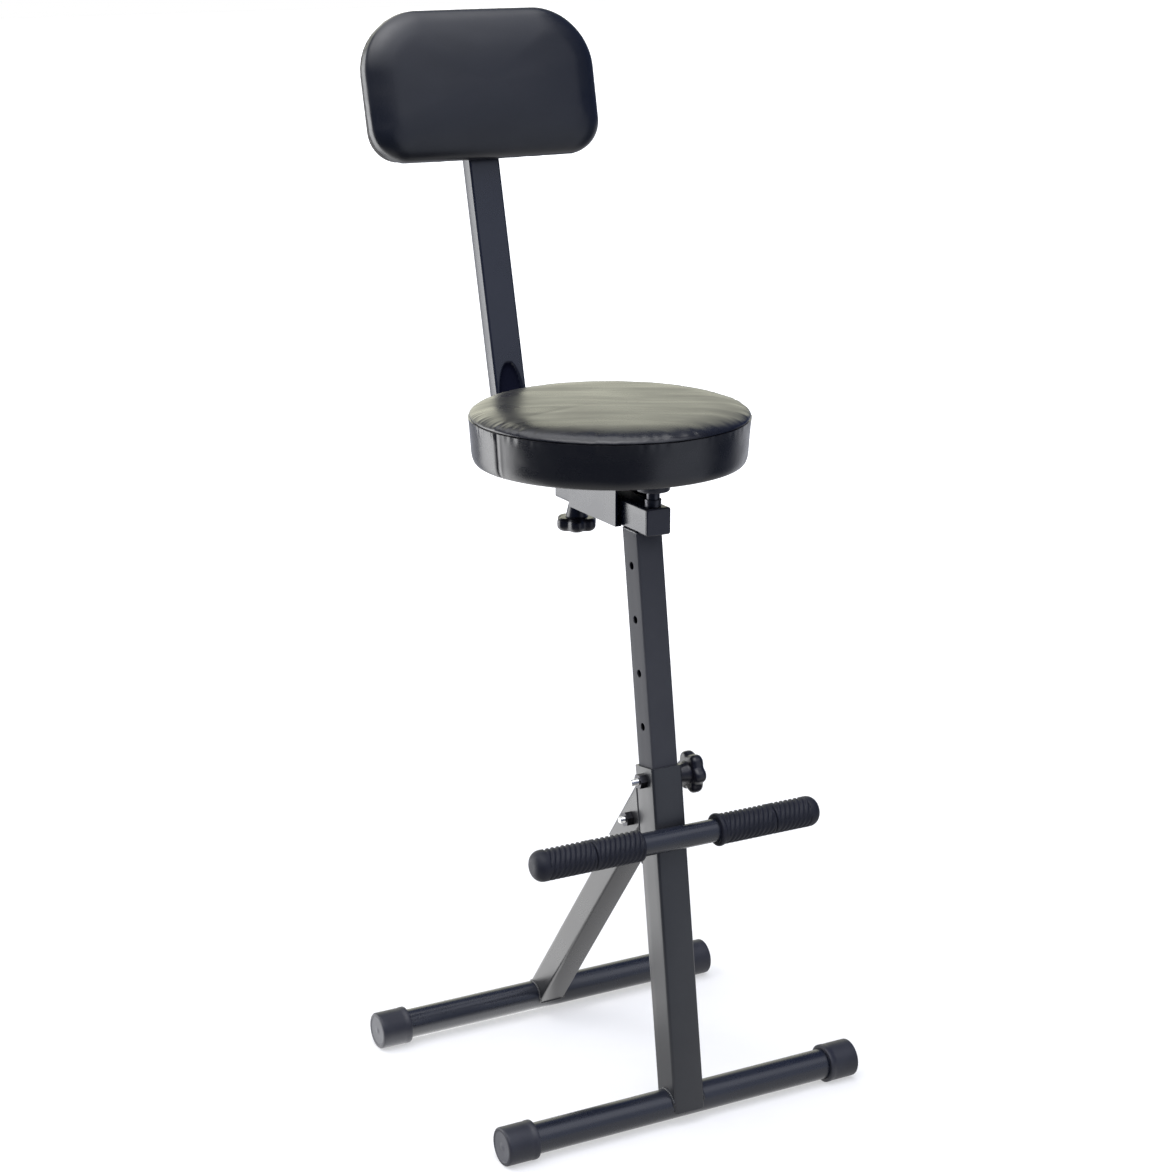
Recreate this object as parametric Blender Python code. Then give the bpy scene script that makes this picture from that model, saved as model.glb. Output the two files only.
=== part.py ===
"""High music stool with a folding base, a telescopic column, a round seat and a backrest.

Metres, +Z up, +Y to the rear. The origin is on the floor under the middle of the stool.
"""
import math

import bmesh
import bpy
from mathutils import Matrix, Vector

# Gaps and clearances
SEAT_GAP = 0.0003
SCREW_CLEAR = 0.0003
TELESCOPE_CLEAR = 0.0005
LEG_SIDE_CLEAR = 0.0005
CHANNEL_CLEAR = 0.0004

# Foot bars and their rubber caps
FOOT_BAR_D = 0.035
FOOT_BAR_WALL = 0.0018
FOOT_BAR_LENGTH = 0.448
FOOT_SPACING = 0.328
FOOT_CAP_WALL = 0.0045
FOOT_CAP_LENGTH = 0.038
FOOT_CAP_END = 0.004
FOOT_CAP_ROUND = 0.0025
FOOT_FLAT = 0.0006

# Lower post
POST_W = 0.0385
POST_WALL = 0.0025
POST_CORNER = 0.003
POST_LEAN = math.radians(8.5)
POST_LENGTH = 0.3885
POST_SKIRT = 0.0065

# Upper post
COLUMN_WALL = 0.0015
COLUMN_CORNER = 0.0025
COLUMN_EXPOSED = 0.2644
COLUMN_OVERLAP = 0.110
HOLE_D = 0.009
HOLE_PITCH = 0.060
HOLE_TOP_MARGIN = 0.025
LOCK_DROP = 0.015

# Rear leg and its bracket
LEG_WALL = 0.0015
LEG_CORNER = 0.0025
PIVOT_ALONG = 0.3241
PIVOT_BEHIND = 0.0375
BRACKET_T = 0.0025
BRACKET_BEND = 0.0034
BRACKET_DROP = 0.058
BRACKET_REACH = 0.0155

# Footrest
REST_BAR_D = 0.026
REST_BAR_WALL = 0.0015
REST_BAR_LENGTH = 0.357
REST_ALONG = 0.311
GRIP_WALL = 0.0044
GRIP_LONG = 0.072
GRIP_SHORT = 0.061
GRIP_END = 0.003
GRIP_MOUTH_ROUND = 0.0012
GRIP_END_ROUND = 0.005
GRIP_FLANGE = 0.0012
GRIP_FLANGE_T = 0.006
GRIP_FLANGE_ROUND = 0.002

# Seat arm and its plug
ARM_W = 0.030
ARM_WALL = 0.0015
ARM_CORNER = 0.0025
ARM_NOSE = 0.033
ARM_TAIL = 0.1726
PLUG_FLANGE_T = 0.0035
PLUG_EDGE = 0.0012
PLUG_STEM = 0.015
PLUG_STEM_WALL = 0.002

# Seat channel, plate and front support
CHANNEL_T = 0.0025
CHANNEL_BEND = 0.004
CHANNEL_LENGTH = 0.107
CHANNEL_RISE = 0.0297
SEAT_PLATE_W = 0.150
SEAT_PLATE_L = 0.130
SEAT_PLATE_T = 0.003
SEAT_PLATE_CORNER = 0.012
SUPPORT_INSET = 0.0096
SPACER_D = 0.0185
SPACER_NECK_D = 0.0150
SPACER_RING_H = 0.008
SPACER_NECK_H = 0.009
BUFFER_D = 0.037
BUFFER_ROUND = 0.002

# Seat
SEAT_D = 0.314
SEAT_SETBACK = 0.0724
SEAT_BOARD_T = 0.012
SEAT_SKIRT = 0.008
SEAT_BAND_H = 0.0495
SEAT_BULGE = 0.0015
SEAT_SEAM = 0.0012
SEAT_CROWN = 0.013

# Backrest
BACK_TUBE_W = 0.040
BACK_TUBE_D = 0.020
BACK_TUBE_WALL = 0.0015
BACK_TUBE_CORNER = 0.003
BACK_LEAN = math.radians(13.9)
BACK_CORNER_BEHIND = 0.2347
BACK_BEND = 0.050
BACK_TUBE_INSET = 0.022
BACK_RISE = 0.3215
PAD_W = 0.300
PAD_H = 0.176
PAD_T = 0.025
PAD_TOP_ROUND = 0.072
PAD_LOW_ROUND = 0.040
PAD_REAR_ROUND = 0.005
PAD_FRONT_ROUND = 0.011
PAD_WAIST = 0.0012
PAD_CROWN = 0.006
BACK_BOARD_T = 0.008
BACK_BOARD_INSET = 0.004
BACK_TUBE_TOP_INSET = 0.035

# Knobs, screws and nuts
KNOB_D = 0.048
KNOB_T = 0.015
KNOB_LOBES = 6
KNOB_SCALLOP = 0.0035
KNOB_ROUND = 0.005
HUB_D = 0.019
HUB_H = 0.015
KNOB_FACE_DISH = 0.002
SCREW_D = 0.008
SCREW_SEAT = 0.012
NUT_ACROSS = 0.015
NUT_H = 0.008
CLAMP_NUT_H = 0.004
LOCK_SCREW_END = 0.009
PIVOT_BOLT_D = 0.008
PIVOT_HEAD_H = 0.0053
PIVOT_THREAD_END = 0.006
THREAD_CHAMFER = 0.001
HEAD_CHAMFER = 0.0005

# Facets
ROUND_STEPS = 28
SMALL_STEPS = 18
HEX_STEPS = 24
CORNER_STEPS = 3
EDGE_STEPS = 2
BEND_STEPS = 10
ARC_STEPS = 6
CUSHION_STEPS = 52
KNOB_STEPS = 36
SHARP_ANGLE = math.radians(35)
MERGE = 0.000001
CUT_REACH = 0.200
HEX_SIDES = 6
MIN_BEND = 0.0005

# Sizes that follow from those above
FOOT_CAP_R = FOOT_BAR_D / 2 + FOOT_CAP_WALL
FOOT_AXIS_Z = FOOT_CAP_R - FOOT_FLAT
COLUMN_W = POST_W - 2 * POST_WALL - 2 * TELESCOPE_CLEAR
LEG_W = POST_W - 2 * BRACKET_T - 2 * LEG_SIDE_CLEAR
LOCK_ALONG = POST_LENGTH - LOCK_DROP
COLUMN_TOP = POST_LENGTH + COLUMN_EXPOSED
HOLE_COUNT = 1 + int((COLUMN_EXPOSED + LOCK_DROP - HOLE_TOP_MARGIN) / HOLE_PITCH)
PIVOT_Y = PIVOT_ALONG * math.sin(POST_LEAN) + PIVOT_BEHIND * math.cos(POST_LEAN)
PIVOT_RISE = PIVOT_ALONG * math.cos(POST_LEAN) - PIVOT_BEHIND * math.sin(POST_LEAN)
LEG_LENGTH = math.hypot(FOOT_SPACING - PIVOT_Y, PIVOT_RISE)
LEG_ANGLE = math.atan2(FOOT_SPACING - PIVOT_Y, PIVOT_RISE)
ARM_Y = COLUMN_TOP * math.sin(POST_LEAN)
CHANNEL_W = BACK_TUBE_W + 2 * CHANNEL_CLEAR + 2 * CHANNEL_T
CHANNEL_TOP = ARM_W + CHANNEL_RISE
SEAT_BOTTOM = CHANNEL_TOP + SEAT_PLATE_T + 2 * SEAT_GAP
SEAT_BOARD_R = SEAT_D / 2 - SEAT_SKIRT
BACK_RUN_Z = CHANNEL_TOP - CHANNEL_T - SEAT_GAP - BACK_TUBE_D / 2
CLAMP_Y = (SEAT_SETBACK + CHANNEL_LENGTH / 2 + ARM_TAIL) / 2
BACK_CORNER_Y = SEAT_SETBACK + BACK_CORNER_BEHIND
BACK_TURN = math.pi / 2 - BACK_LEAN
BACK_BEND_RUN = BACK_BEND * math.tan(BACK_TURN / 2)
BACK_TUBE_FRONT = SEAT_SETBACK - CHANNEL_LENGTH / 2 + BACK_TUBE_INSET
PAD_MID = BACK_RISE + PAD_H / 2
BACK_TUBE_TOP = BACK_RISE + PAD_H - BACK_TUBE_TOP_INSET
BACK_REAR = (ARM_Y + BACK_CORNER_Y + BACK_TUBE_TOP * math.sin(BACK_LEAN)
             + BACK_TUBE_D / 2 * math.cos(BACK_LEAN))
MIDDLE_Y = (BACK_REAR - FOOT_CAP_R) / 2
LOCK_SCREW_REACH = POST_W / 2 + SEAT_GAP + NUT_H + LOCK_SCREW_END


def clear_scene():
    for thing in list(bpy.data.objects):
        bpy.data.objects.remove(thing, do_unlink=True)


def make_material(name, colour, roughness, metallic):
    material = bpy.data.materials.new(name)
    material.use_nodes = True
    shader = material.node_tree.nodes["Principled BSDF"]
    shader.inputs["Base Color"].default_value = (*colour, 1.0)
    shader.inputs["Roughness"].default_value = roughness
    shader.inputs["Metallic"].default_value = metallic
    material.diffuse_color = (*colour, 1.0)
    return material


def make_empty(name, parent, location, tilt=0.0):
    frame = bpy.data.objects.new(name, None)
    bpy.context.scene.collection.objects.link(frame)
    frame.parent = parent
    frame.location = location
    frame.rotation_euler = (tilt, 0.0, 0.0)
    return frame


def add_object(name, bm, parent, material, location=(0.0, 0.0, 0.0), turn=(0.0, 0.0, 0.0)):
    bmesh.ops.recalc_face_normals(bm, faces=bm.faces)
    mesh = bpy.data.meshes.new(name)
    bm.to_mesh(mesh)
    bm.free()
    mesh.shade_smooth()
    mesh.set_sharp_from_angle(angle=SHARP_ANGLE)
    if material is not None:
        mesh.materials.append(material)
    item = bpy.data.objects.new(name, mesh)
    bpy.context.scene.collection.objects.link(item)
    item.parent = parent
    item.location = location
    item.rotation_euler = turn
    return item


def add_cutter(name, bm, parent, location=(0.0, 0.0, 0.0), turn=(0.0, 0.0, 0.0)):
    tool = add_object(name, bm, parent, None, location, turn)
    tool.hide_render = True
    tool.display_type = "WIRE"
    return tool


def cut(item, tool):
    step = item.modifiers.new("cut_" + tool.name, "BOOLEAN")
    step.operation = "DIFFERENCE"
    step.solver = "EXACT"
    step.object = tool


# Turns that lay a shape built along local Z on another axis
ALONG_X = (0.0, math.pi / 2, 0.0)
ALONG_MINUS_X = (0.0, -math.pi / 2, 0.0)
ALONG_Y = (-math.pi / 2, 0.0, 0.0)
ALONG_MINUS_Y = (math.pi / 2, 0.0, 0.0)
ALONG_MINUS_Z = (math.pi, 0.0, 0.0)


def arc_points(centre, radius, start, sweep, steps):
    points = []
    for step in range(steps + 1):
        angle = start + sweep * step / steps
        points.append((centre[0] + radius * math.cos(angle), centre[1] + radius * math.sin(angle)))
    return points


def circle(radius, steps):
    return arc_points((0.0, 0.0), radius, 0.0, math.tau * (steps - 1) / steps, steps - 1)


def hexagon(across):
    """A hexagon with its points spread at even angles, so that it matches a circle."""
    sector = math.tau / HEX_SIDES
    points = []
    for step in range(HEX_STEPS):
        angle = math.tau * step / HEX_STEPS
        radius = across / 2 / math.cos((angle + sector / 2) % sector - sector / 2)
        points.append((radius * math.cos(angle), radius * math.sin(angle)))
    return points


def rounded_rect(width, depth, radius, steps=CORNER_STEPS):
    x = width / 2 - radius
    y = depth / 2 - radius
    quarter = math.pi / 2
    points = []
    for index, centre in enumerate(((x, y), (-x, y), (-x, -y), (x, -y))):
        points.extend(arc_points(centre, radius, index * quarter, quarter, steps))
    return points


def inner_rect(width, depth, wall, radius):
    """The bore of a drawn square tube, whose corners keep the wall's thickness where they can."""
    return rounded_rect(width - 2 * wall, depth - 2 * wall, max(radius - wall, MIN_BEND))


def add_loop(bm, points, height):
    return [bm.verts.new((x, y, height)) for x, y in points]


def extrude_up(bm, faces, rise):
    result = bmesh.ops.extrude_face_region(bm, geom=faces)
    tips = [part for part in result["geom"] if isinstance(part, bmesh.types.BMVert)]
    bmesh.ops.translate(bm, verts=tips, vec=rise)
    return [part for part in result["geom"] if isinstance(part, bmesh.types.BMFace)]


def extend(bm, end_faces, rise):
    """Carry the end of a solid further, with nothing left across its inside."""
    faces = extrude_up(bm, end_faces, rise)
    bmesh.ops.delete(bm, geom=end_faces, context="FACES_ONLY")
    return faces


def bar_mesh(points, low, high):
    bm = bmesh.new()
    face = bm.faces.new(add_loop(bm, points, low))
    extrude_up(bm, [face], Vector((0.0, 0.0, high - low)))
    return bm


def ring_faces(bm, outer, inner, height):
    outside = add_loop(bm, outer, height)
    inside = add_loop(bm, inner, height)
    faces = []
    for index in range(len(outside)):
        after = (index + 1) % len(outside)
        faces.append(bm.faces.new((outside[index], outside[after], inside[after], inside[index])))
    return faces


def tube_mesh(outer, inner, low, high):
    bm = bmesh.new()
    extrude_up(bm, ring_faces(bm, outer, inner, low), Vector((0.0, 0.0, high - low)))
    return bm


def square_tube(width, wall, corner, low, high):
    outer = rounded_rect(width, width, corner)
    return tube_mesh(outer, inner_rect(width, width, wall, corner), low, high)


def round_tube(diameter, wall, length, steps=ROUND_STEPS):
    outer = circle(diameter / 2, steps)
    return tube_mesh(outer, circle(diameter / 2 - wall, steps), -length / 2, length / 2)


def turned(profile, steps=ROUND_STEPS, closed=False):
    """Spin a profile of (radius, height) points about Z."""
    bm = bmesh.new()
    points = [bm.verts.new((radius, 0.0, height)) for radius, height in profile]
    edges = [bm.edges.new(pair) for pair in zip(points, points[1:])]
    if closed:
        edges.append(bm.edges.new((points[-1], points[0])))
    bmesh.ops.spin(bm, geom=points + edges, cent=(0.0, 0.0, 0.0), axis=(0.0, 0.0, 1.0),
                   dvec=(0.0, 0.0, 0.0), angle=math.tau, steps=steps, use_merge=True,
                   use_duplicate=False)
    bmesh.ops.remove_doubles(bm, verts=bm.verts, dist=MERGE)
    return bm


def loft(sections):
    """Skin a stack of (points, height) sections that all have as many points."""
    bm = bmesh.new()
    rings = [add_loop(bm, points, height) for points, height in sections]
    for low, high in zip(rings, rings[1:]):
        for index in range(len(low)):
            after = (index + 1) % len(low)
            bm.faces.new((low[index], low[after], high[after], high[index]))
    bm.faces.new(rings[0])
    bm.faces.new(rings[-1])
    return bm


def pin_cutter(name, parent, diameter, location, turn):
    return add_cutter(name, bar_mesh(circle(diameter / 2, SMALL_STEPS), -CUT_REACH, CUT_REACH),
                      parent, location, turn)


def rounded_edge(radius, low_height, high_height, edge):
    """The outer side of a turned piece, from its lower to its upper rounded edge."""
    quarter = math.pi / 2
    lower = arc_points((radius - edge, low_height + edge), edge, -quarter, quarter, EDGE_STEPS)
    upper = arc_points((radius - edge, high_height - edge), edge, 0.0, quarter, EDGE_STEPS)
    return lower + upper


# Foot bars


def add_foot_bar(side, parent, y, tools):
    add_object(side + "_foot_bar", round_tube(FOOT_BAR_D, FOOT_BAR_WALL, FOOT_BAR_LENGTH), parent,
               tools["steel"], (0.0, y, FOOT_AXIS_Z), ALONG_X)


def cap_mesh():
    bore = FOOT_BAR_D / 2 + SCREW_CLEAR
    mouth = FOOT_CAP_END - FOOT_CAP_LENGTH
    profile = [(0.0, SEAT_GAP), (bore, SEAT_GAP), (bore, mouth)]
    profile.extend(rounded_edge(FOOT_CAP_R, mouth, FOOT_CAP_END, FOOT_CAP_ROUND))
    profile.append((0.0, FOOT_CAP_END))
    return turned(profile)


def add_foot_caps(side, parent, y, tools):
    for hand, turn, sign in (("left", ALONG_MINUS_X, -1), ("right", ALONG_X, 1)):
        cap = add_object(f"{side}_foot_cap_{hand}", cap_mesh(), parent, tools["rubber"],
                         (sign * FOOT_BAR_LENGTH / 2, y, FOOT_AXIS_Z), turn)
        cut(cap, tools["floor"])


# Lower post and its welded bracket


def post_notch():
    """A slot with a round top that lets the post straddle the front bar."""
    radius = FOOT_BAR_D / 2 + SEAT_GAP
    outline = arc_points((0.0, 0.0), radius, 0.0, math.pi, ROUND_STEPS // 2)
    outline.extend(((-radius, -CUT_REACH), (radius, -CUT_REACH)))
    return bar_mesh(outline, -CUT_REACH, CUT_REACH)


def add_lower_post(post, tools):
    tube = add_object("lower_post", square_tube(POST_W, POST_WALL, POST_CORNER, -POST_SKIRT, POST_LENGTH),
                      post, tools["steel"])
    notch_turn = (math.pi / 2, 0.0, math.pi / 2)
    cut(tube, add_cutter("front_bar_notch", post_notch(), post, turn=notch_turn))
    cut(tube, pin_cutter("lock_hole", post, SCREW_D + 2 * SCREW_CLEAR, (0.0, 0.0, LOCK_ALONG), ALONG_X))


def channel_outline(width, web, lip, sheet, bend, mouth=None):
    """A bent sheet: two legs ending at y = lip, joined by a web whose outside is at y = web.

    Where a mouth is given, the legs' ends turn in and leave that width between them.
    """
    half = width / 2
    quarter = math.pi / 2
    inside = max(bend - sheet, MIN_BEND)
    outline = [(half, lip)]
    outline.extend(arc_points((half - bend, web - bend), bend, 0.0, quarter, CORNER_STEPS))
    outline.extend(arc_points((bend - half, web - bend), bend, quarter, quarter, CORNER_STEPS))
    outline.append((-half, lip))
    if mouth is None:
        outline.append((sheet - half, lip))
    else:
        outline.extend([(-mouth / 2, lip), (-mouth / 2, lip + sheet), (sheet - half, lip + sheet)])
    corner = half - sheet - inside
    outline.extend(arc_points((-corner, web - sheet - inside), inside, math.pi, -quarter, CORNER_STEPS))
    outline.extend(arc_points((corner, web - sheet - inside), inside, quarter, -quarter, CORNER_STEPS))
    if mouth is None:
        outline.append((half - sheet, lip))
    else:
        outline.extend([(half - sheet, lip + sheet), (mouth / 2, lip + sheet), (mouth / 2, lip)])
    return outline


def add_leg_bracket(hinge, tools):
    web = LEG_W / 2 + SEAT_GAP + BRACKET_T
    bm = bar_mesh(channel_outline(POST_W, web, -BRACKET_REACH, BRACKET_T, BRACKET_BEND),
                  -BRACKET_DROP, CUT_REACH)
    fold = LEG_ANGLE + POST_LEAN
    out = Vector((0.0, math.cos(fold), -math.sin(fold)))
    weld = out * (POST_W / 2 + SEAT_GAP - PIVOT_BEHIND)
    everything = bm.verts[:] + bm.edges[:] + bm.faces[:]
    bmesh.ops.bisect_plane(bm, geom=everything, plane_co=weld, plane_no=out, clear_inner=True)
    rim = [edge for edge in bm.edges if edge.is_boundary]
    bmesh.ops.contextual_create(bm, geom=rim)
    bracket = add_object("leg_bracket", bm, hinge, tools["steel"])
    cut(bracket, tools["pivot_hole"])


def bolt_mesh(shank_d, length, across, head_h):
    """A hexagon bolt with its head's underside at height 0 and its shank below."""
    shank = circle(shank_d / 2, HEX_STEPS)
    tip = circle(shank_d / 2 - THREAD_CHAMFER, HEX_STEPS)
    head = hexagon(across)
    crest = hexagon(across - 2 * HEAD_CHAMFER)
    return loft([(tip, -length), (shank, THREAD_CHAMFER - length), (shank, 0.0), (head, 0.0),
                 (head, head_h - HEAD_CHAMFER), (crest, head_h)])


def nut_mesh(bore_d, across, height):
    return tube_mesh(hexagon(across), circle(bore_d / 2, HEX_STEPS), 0.0, height)


def add_pivot(hinge, tools):
    side = POST_W / 2 + SEAT_GAP
    length = 2 * side + NUT_H + PIVOT_THREAD_END
    add_object("pivot_bolt", bolt_mesh(PIVOT_BOLT_D, length, NUT_ACROSS, PIVOT_HEAD_H), hinge,
               tools["zinc"], (side, 0.0, 0.0), ALONG_X)
    add_object("pivot_nut", nut_mesh(PIVOT_BOLT_D + 2 * SCREW_CLEAR, NUT_ACROSS, NUT_H), hinge,
               tools["zinc"], (-side, 0.0, 0.0), ALONG_MINUS_X)


def stud_mesh(diameter, low, high):
    shank = circle(diameter / 2, SMALL_STEPS)
    tip = circle(diameter / 2 - THREAD_CHAMFER, SMALL_STEPS)
    return loft([(shank, low), (shank, high - THREAD_CHAMFER), (tip, high)])


def add_height_lock(post, tools):
    side = POST_W / 2 + SEAT_GAP
    place = (0.0, 0.0, LOCK_ALONG)
    add_object("lock_nut", nut_mesh(SCREW_D + 2 * SCREW_CLEAR, NUT_ACROSS, NUT_H), post,
               tools["zinc"], (-side, 0.0, LOCK_ALONG), ALONG_MINUS_X)
    add_object("lock_screw_end", stud_mesh(SCREW_D, COLUMN_W / 2 + SEAT_GAP, LOCK_SCREW_REACH), post,
               tools["zinc"], place, ALONG_MINUS_X)


# Footrest


def grip_sleeve(length, flange):
    """An open sleeve from height 0 up, with a raised flange at its lower end if asked for."""
    bore = REST_BAR_D / 2 + SEAT_GAP
    radius = REST_BAR_D / 2 + GRIP_WALL
    profile = [(bore, length), (bore, 0.0)]
    if flange:
        profile.extend(rounded_edge(radius + GRIP_FLANGE, 0.0, GRIP_FLANGE_T, GRIP_FLANGE_ROUND))
        profile.append((radius, GRIP_FLANGE_T))
        far_edge = (radius - GRIP_MOUTH_ROUND, length - GRIP_MOUTH_ROUND)
        profile.extend(arc_points(far_edge, GRIP_MOUTH_ROUND, 0.0, math.pi / 2, EDGE_STEPS))
    else:
        profile.extend(rounded_edge(radius, 0.0, length, GRIP_MOUTH_ROUND))
    return turned(profile, closed=True)


def grip_end(length):
    """A sleeve closed over the bar's end, with that end at height 0 and the mouth below."""
    bore = REST_BAR_D / 2 + SEAT_GAP
    radius = REST_BAR_D / 2 + GRIP_WALL
    mouth = GRIP_END - length
    quarter = math.pi / 2
    profile = [(0.0, SEAT_GAP), (bore, SEAT_GAP), (bore, mouth)]
    mouth_edge = (radius - GRIP_MOUTH_ROUND, mouth + GRIP_MOUTH_ROUND)
    profile.extend(arc_points(mouth_edge, GRIP_MOUTH_ROUND, -quarter, quarter, EDGE_STEPS))
    end_edge = (radius - GRIP_END_ROUND, GRIP_END - GRIP_END_ROUND)
    profile.extend(arc_points(end_edge, GRIP_END_ROUND, 0.0, quarter, CORNER_STEPS))
    profile.append((0.0, GRIP_END))
    return turned(profile)


def add_footrest(post, tools):
    y = -(POST_W / 2 + SEAT_GAP + REST_BAR_D / 2)
    end = REST_BAR_LENGTH / 2
    add_object("footrest_bar", round_tube(REST_BAR_D, REST_BAR_WALL, REST_BAR_LENGTH), post,
               tools["steel"], (0.0, y, REST_ALONG), ALONG_X)
    add_object("footrest_grip_left_outer", grip_end(GRIP_LONG), post, tools["grip"],
               (-end, y, REST_ALONG), ALONG_MINUS_X)
    left_joint = -(end + GRIP_END - GRIP_LONG - SEAT_GAP)
    add_object("footrest_grip_left_inner", grip_sleeve(GRIP_SHORT, False), post, tools["grip"],
               (left_joint, y, REST_ALONG), ALONG_X)
    add_object("footrest_grip_right_outer", grip_end(GRIP_SHORT), post, tools["grip"],
               (end, y, REST_ALONG), ALONG_X)
    right_joint = end + GRIP_END - GRIP_SHORT - SEAT_GAP
    add_object("footrest_grip_right_inner", grip_sleeve(GRIP_LONG, True), post, tools["grip"],
               (right_joint - GRIP_LONG, y, REST_ALONG), ALONG_X)


# Rear leg


def leg_crown():
    """What is cut away round the leg's upper end, to leave it rounded about the pivot."""
    radius = LEG_W / 2
    outline = arc_points((0.0, 0.0), radius, math.pi, -math.pi, ROUND_STEPS // 2)
    outline.extend(((CUT_REACH, 0.0), (CUT_REACH, CUT_REACH), (-CUT_REACH, CUT_REACH), (-CUT_REACH, 0.0)))
    return bar_mesh(outline, -CUT_REACH, CUT_REACH)


def add_rear_leg(hinge, tools):
    leg = add_object("rear_leg", square_tube(LEG_W, LEG_WALL, LEG_CORNER, -LEG_LENGTH, LEG_W), hinge,
                     tools["steel"])
    lay_on_x = (math.pi / 2, 0.0, math.pi / 2)
    cut(leg, add_cutter("leg_crown", leg_crown(), hinge, turn=lay_on_x))
    cut(leg, tools["pivot_hole"])
    cut(leg, pin_cutter("rear_bar_saddle", hinge, FOOT_BAR_D + 2 * SEAT_GAP, (0.0, 0.0, -LEG_LENGTH),
                        ALONG_X))


# Seat column


def add_upper_post(column, tools):
    low = POST_LENGTH - COLUMN_OVERLAP - LOCK_ALONG
    high = COLUMN_TOP - SEAT_GAP / math.cos(POST_LEAN) - LOCK_ALONG
    bm = square_tube(COLUMN_W, COLUMN_WALL, COLUMN_CORNER, low, high)
    for vert in bm.verts:
        if vert.co.z > 0.0:
            vert.co.z += vert.co.y * math.tan(POST_LEAN)
    tube = add_object("upper_post", bm, column, tools["steel"])
    for index in range(HOLE_COUNT):
        place = (0.0, 0.0, index * HOLE_PITCH)
        cut(tube, pin_cutter(f"height_hole_{index + 1}", column, HOLE_D, place, ALONG_X))


def add_seat_arm(seat, tools):
    mid_z = ARM_W / 2
    arm = add_object("seat_arm", square_tube(ARM_W, ARM_WALL, ARM_CORNER, -ARM_NOSE, ARM_TAIL), seat,
                     tools["steel"], (0.0, 0.0, mid_z), ALONG_Y)
    cut(arm, pin_cutter("clamp_hole", seat, SCREW_D + 2 * SCREW_CLEAR, (0.0, CLAMP_Y, 0.0), (0.0, 0.0, 0.0)))
    stem_w = ARM_W - 2 * ARM_WALL - 2 * SEAT_GAP
    stem = rounded_rect(stem_w, stem_w, ARM_CORNER - ARM_WALL)
    stem_bore = inner_rect(stem_w, stem_w, PLUG_STEM_WALL, ARM_CORNER)
    flange = rounded_rect(ARM_W, ARM_W, ARM_CORNER)
    face_w = ARM_W - 2 * PLUG_EDGE
    face = rounded_rect(face_w, face_w, ARM_CORNER)
    plug = loft([(stem_bore, SEAT_GAP), (stem_bore, -PLUG_STEM), (stem, -PLUG_STEM), (stem, SEAT_GAP),
                 (flange, SEAT_GAP), (flange, PLUG_FLANGE_T - PLUG_EDGE), (face, PLUG_FLANGE_T)])
    add_object("arm_plug", plug, seat, tools["plastic"], (0.0, -ARM_NOSE, mid_z), ALONG_MINUS_Y)


def add_seat_carrier(seat, tools):
    mouth = ARM_W + 2 * SEAT_GAP
    outline = channel_outline(CHANNEL_W, CHANNEL_TOP, 0.0, CHANNEL_T, CHANNEL_BEND, mouth)
    half = CHANNEL_LENGTH / 2
    stand_up = (math.pi / 2, 0.0, 0.0)
    add_object("seat_channel", bar_mesh(outline, -half, half), seat, tools["steel"],
               (0.0, SEAT_SETBACK, 0.0), stand_up)
    plate = rounded_rect(SEAT_PLATE_W, SEAT_PLATE_L, SEAT_PLATE_CORNER, ARC_STEPS)
    add_object("seat_plate", bar_mesh(plate, 0.0, SEAT_PLATE_T), seat, tools["steel"],
               (0.0, SEAT_SETBACK, CHANNEL_TOP + SEAT_GAP))


def add_front_support(seat, tools):
    y = SUPPORT_INSET - ARM_NOSE
    ring_r = SPACER_D / 2
    neck_r = SPACER_NECK_D / 2
    top = SPACER_RING_H + SPACER_NECK_H
    spacer = turned([(0.0, 0.0), (ring_r, 0.0), (ring_r, SPACER_RING_H), (neck_r, SPACER_RING_H),
                     (neck_r, top), (0.0, top)], SMALL_STEPS)
    add_object("front_spacer", spacer, seat, tools["black_zinc"], (0.0, y, ARM_W + SEAT_GAP))
    low = ARM_W + top + 2 * SEAT_GAP
    height = SEAT_BOTTOM - SEAT_GAP - low
    profile = [(0.0, 0.0)]
    profile.extend(rounded_edge(BUFFER_D / 2, 0.0, height, BUFFER_ROUND))
    profile.append((0.0, height))
    add_object("front_buffer", turned(profile), seat, tools["rubber"], (0.0, y, low))


def seat_cushion_mesh():
    """A boxed round cushion: bulged band, drawn-in seam and a low crown, over a pocket for its board."""
    radius = SEAT_D / 2
    pocket = SEAT_BOARD_R + SEAT_GAP
    floor = SEAT_BOARD_T + SEAT_GAP
    profile = [(0.0, floor), (pocket, floor), (pocket, 0.0)]
    for step in range(ARC_STEPS + 1):
        share = step / ARC_STEPS
        swell = math.sin(math.pi * share)
        profile.append((radius - SEAT_BULGE * (1.0 - swell), SEAT_BAND_H * share))
    rim = radius - SEAT_BULGE - SEAT_SEAM
    profile.append((rim, SEAT_BAND_H + SEAT_SEAM))
    for step in range(1, BEND_STEPS):
        share = step / BEND_STEPS
        rise = 1.0 - (1.0 - share) ** 3
        profile.append((rim * math.sqrt(1.0 - share ** 2), SEAT_BAND_H + SEAT_SEAM + SEAT_CROWN * rise))
    profile.append((0.0, SEAT_BAND_H + SEAT_SEAM + SEAT_CROWN))
    return turned(profile, CUSHION_STEPS)


def add_seat(seat, tools):
    place = (0.0, SEAT_SETBACK, SEAT_BOTTOM)
    board = bar_mesh(circle(SEAT_BOARD_R, CUSHION_STEPS), 0.0, SEAT_BOARD_T)
    add_object("seat_board", board, seat, tools["board"], place)
    add_object("seat_cushion", seat_cushion_mesh(), seat, tools["vinyl"], place)


# Backrest


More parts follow.
